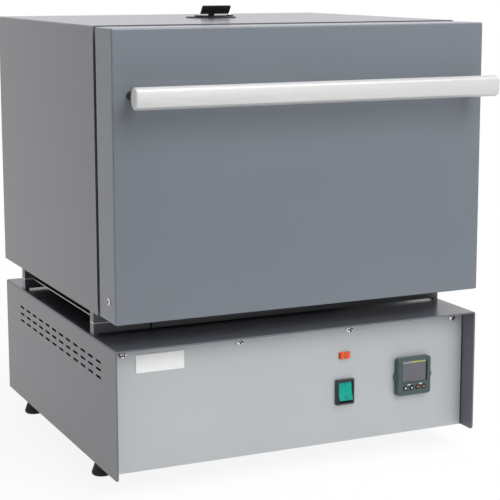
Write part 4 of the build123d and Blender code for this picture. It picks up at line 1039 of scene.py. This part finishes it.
class FURNACE_OT_stage(bpy.types.Operator):
    """Pale floor, even studio light and the camera"""

    bl_idname = "furnace.stage"
    bl_label = "Stage"

    # Name, place, the point it looks at, size, the property with its power, whether mirrors show it
    LIGHTS = (
        ("key_light", (0.4, -3.0, 2.2), (0.0, -0.1, 0.25), 2.2, "key_power", True),
        ("rear_light", (0.8, 3.2, 2.2), (0.0, 0.1, 0.3), 2.2, "rear_power", False),
        ("top_light", (0.6, -0.6, 3.2), (0.0, 0.0, 0.3), 2.6, "top_power", True),
    )
    # Distances from the furnace between which the floor's share of plain white rises to the whole
    WHITE_RANGE = (0.4, 1.5)
    # Between these, to the right and to the rear, mirrors see ever more of the floor's white
    MIRROR_X = (0.4, 2.6)
    MIRROR_Y = (-2.2, -0.9)
    FLOOR_REACH = 60
    FLOOR_POINTS = 13
    FAR_CLIP = 200

    def execute(self, context):
        stage = context.scene.furnace_stage
        self.floor(stage)
        self.world(context, stage)
        for name, place, aim, size, watts, mirrored in self.LIGHTS:
            self.light(name, place, aim, size, getattr(stage, watts), mirrored)
        lens = bpy.data.cameras.new("view_camera")
        lens.lens = stage.camera_lens
        lens.shift_x = stage.shift_x
        lens.shift_y = stage.shift_y
        lens.clip_end = self.FAR_CLIP
        camera = bpy.data.objects.new("view_camera", lens)
        camera.location = stage.camera_place
        camera.rotation_euler = Euler((pi / 2 - stage.camera_pitch, 0, -stage.camera_yaw), "XYZ")
        context.scene.collection.objects.link(camera)
        context.scene.camera = camera
        context.scene.view_settings.view_transform = "Standard"
        return {"FINISHED"}

    def floor(self, stage):
        """Wide flat floor, nearly plain white to the camera and, but for the front left, to mirrors."""
        made = Finish("studio_floor", stage.floor, 0.9, Specular_IOR_Level=0.1)
        made.mottle(made.noise(1.5, 2.0), 0.995, 1.005)
        away = made.node("ShaderNodeVectorMath", {0: made.place}, operation="LENGTH").outputs["Value"]
        glow_share = made.spread(away, *self.WHITE_RANGE, stage.floor_glow, 1.0)
        spot = made.node("ShaderNodeSeparateXYZ", {0: made.place}).outputs
        mirrored = made.math("MAXIMUM", made.spread(spot["X"], *self.MIRROR_X, stage.front_left, 1.0),
                             made.spread(spot["Y"], *self.MIRROR_Y, 0.0, 1.0))
        path = made.node("ShaderNodeLightPath").outputs
        seen = made.in_sight(path)
        unseen = made.math("MULTIPLY", path["Is Glossy Ray"], made.math("SUBTRACT", 1.0, mirrored))
        glow = made.node("ShaderNodeEmission", {"Color": (1, 1, 1, 1),
                                                "Strength": made.math("SUBTRACT", 1.0, unseen)})
        both = made.node("ShaderNodeMixShader", {0: made.math("MULTIPLY", seen, glow_share)})
        made.feed(both.inputs[1], made.shader.outputs[0])
        made.feed(both.inputs[2], glow.outputs[0])
        made.feed(made.tree.nodes["Material Output"].inputs["Surface"], both.outputs[0])
        reach = np.linspace(-self.FLOOR_REACH, self.FLOOR_REACH, self.FLOOR_POINTS)
        x, y = np.meshgrid(reach, reach, indexing="ij")
        points, quads = surface(np.stack([x, y, 0 * x], axis=-1))
        mesh = bpy.data.meshes.new("studio_floor")
        mesh.from_pydata(points.tolist(), [], quads.tolist())
        mesh.materials.append(made.material)
        floor = bpy.data.objects.new("studio_floor", mesh)
        bpy.context.scene.collection.objects.link(floor)

    def world(self, context, stage):
        """Even light; the camera, mirrors and glass see it as plain white."""
        world = bpy.data.worlds.new("studio_light")
        world.use_nodes = True
        context.scene.world = world
        made = Tree(world.node_tree)
        seen = made.in_sight(made.node("ShaderNodeLightPath").outputs)
        background = made.tree.nodes["Background"].inputs
        made.feed(background["Color"], (1, 1, 1, 1))
        made.feed(background["Strength"], made.spread(seen, 0.0, 1.0, stage.ambient, 1.0))

    def light(self, name, place, aim, size, watts, mirrored):
        """Square area light at a place, turned towards a point; mirrors may be kept from showing it."""
        lamp = bpy.data.lights.new(name, "AREA")
        lamp.size = size
        lamp.energy = watts
        made = bpy.data.objects.new(name, lamp)
        made.location = place
        made.visible_glossy = mirrored
        direction = np.array(aim) - np.array(place)
        rise = np.arctan2(direction[2], np.hypot(direction[0], direction[1]))
        made.rotation_euler = (pi / 2 + rise, 0, np.arctan2(-direction[0], direction[1]))
        bpy.context.scene.collection.objects.link(made)


OPERATORS = [
    FURNACE_OT_finishes,
    FURNACE_OT_screws,
    FURNACE_OT_handle,
    FURNACE_OT_switch,
    FURNACE_OT_controller,
    FURNACE_OT_coils,
    FURNACE_OT_stage,
]


class FURNACE_PT_panel(bpy.types.Panel):
    """Lists the furnace's operators and its sizes and colours"""

    bl_idname = "FURNACE_PT_panel"
    bl_label = "Muffle furnace"
    bl_space_type = "VIEW_3D"
    bl_region_type = "UI"
    bl_category = "Furnace"

    def draw(self, context):
        for operator in OPERATORS:
            self.layout.operator(operator.bl_idname)
        for key, group in GROUPS.items():
            box = self.layout.box()
            for name in group.__annotations__:
                box.prop(getattr(context.scene, key), name)


def register():
    """Add the sizes and colours to the scene, and the operators and the panel."""
    for key, group in GROUPS.items():
        bpy.utils.register_class(group)
        setattr(bpy.types.Scene, key, PointerProperty(type=group))
    for operator in OPERATORS:
        bpy.utils.register_class(operator)
    bpy.utils.register_class(FURNACE_PT_panel)


def unregister():
    """Take them all away again."""
    bpy.utils.unregister_class(FURNACE_PT_panel)
    for operator in reversed(OPERATORS):
        bpy.utils.unregister_class(operator)
    for key, group in reversed(GROUPS.items()):
        delattr(bpy.types.Scene, key)
        bpy.utils.unregister_class(group)


def main():
    """Dress the furnace piece by piece."""
    register()
    bpy.ops.furnace.finishes()
    bpy.ops.furnace.screws()
    bpy.ops.furnace.handle()
    bpy.ops.furnace.switch()
    bpy.ops.furnace.controller()
    bpy.ops.furnace.coils()
    bpy.ops.furnace.stage()


if __name__ == "__main__":
    main()
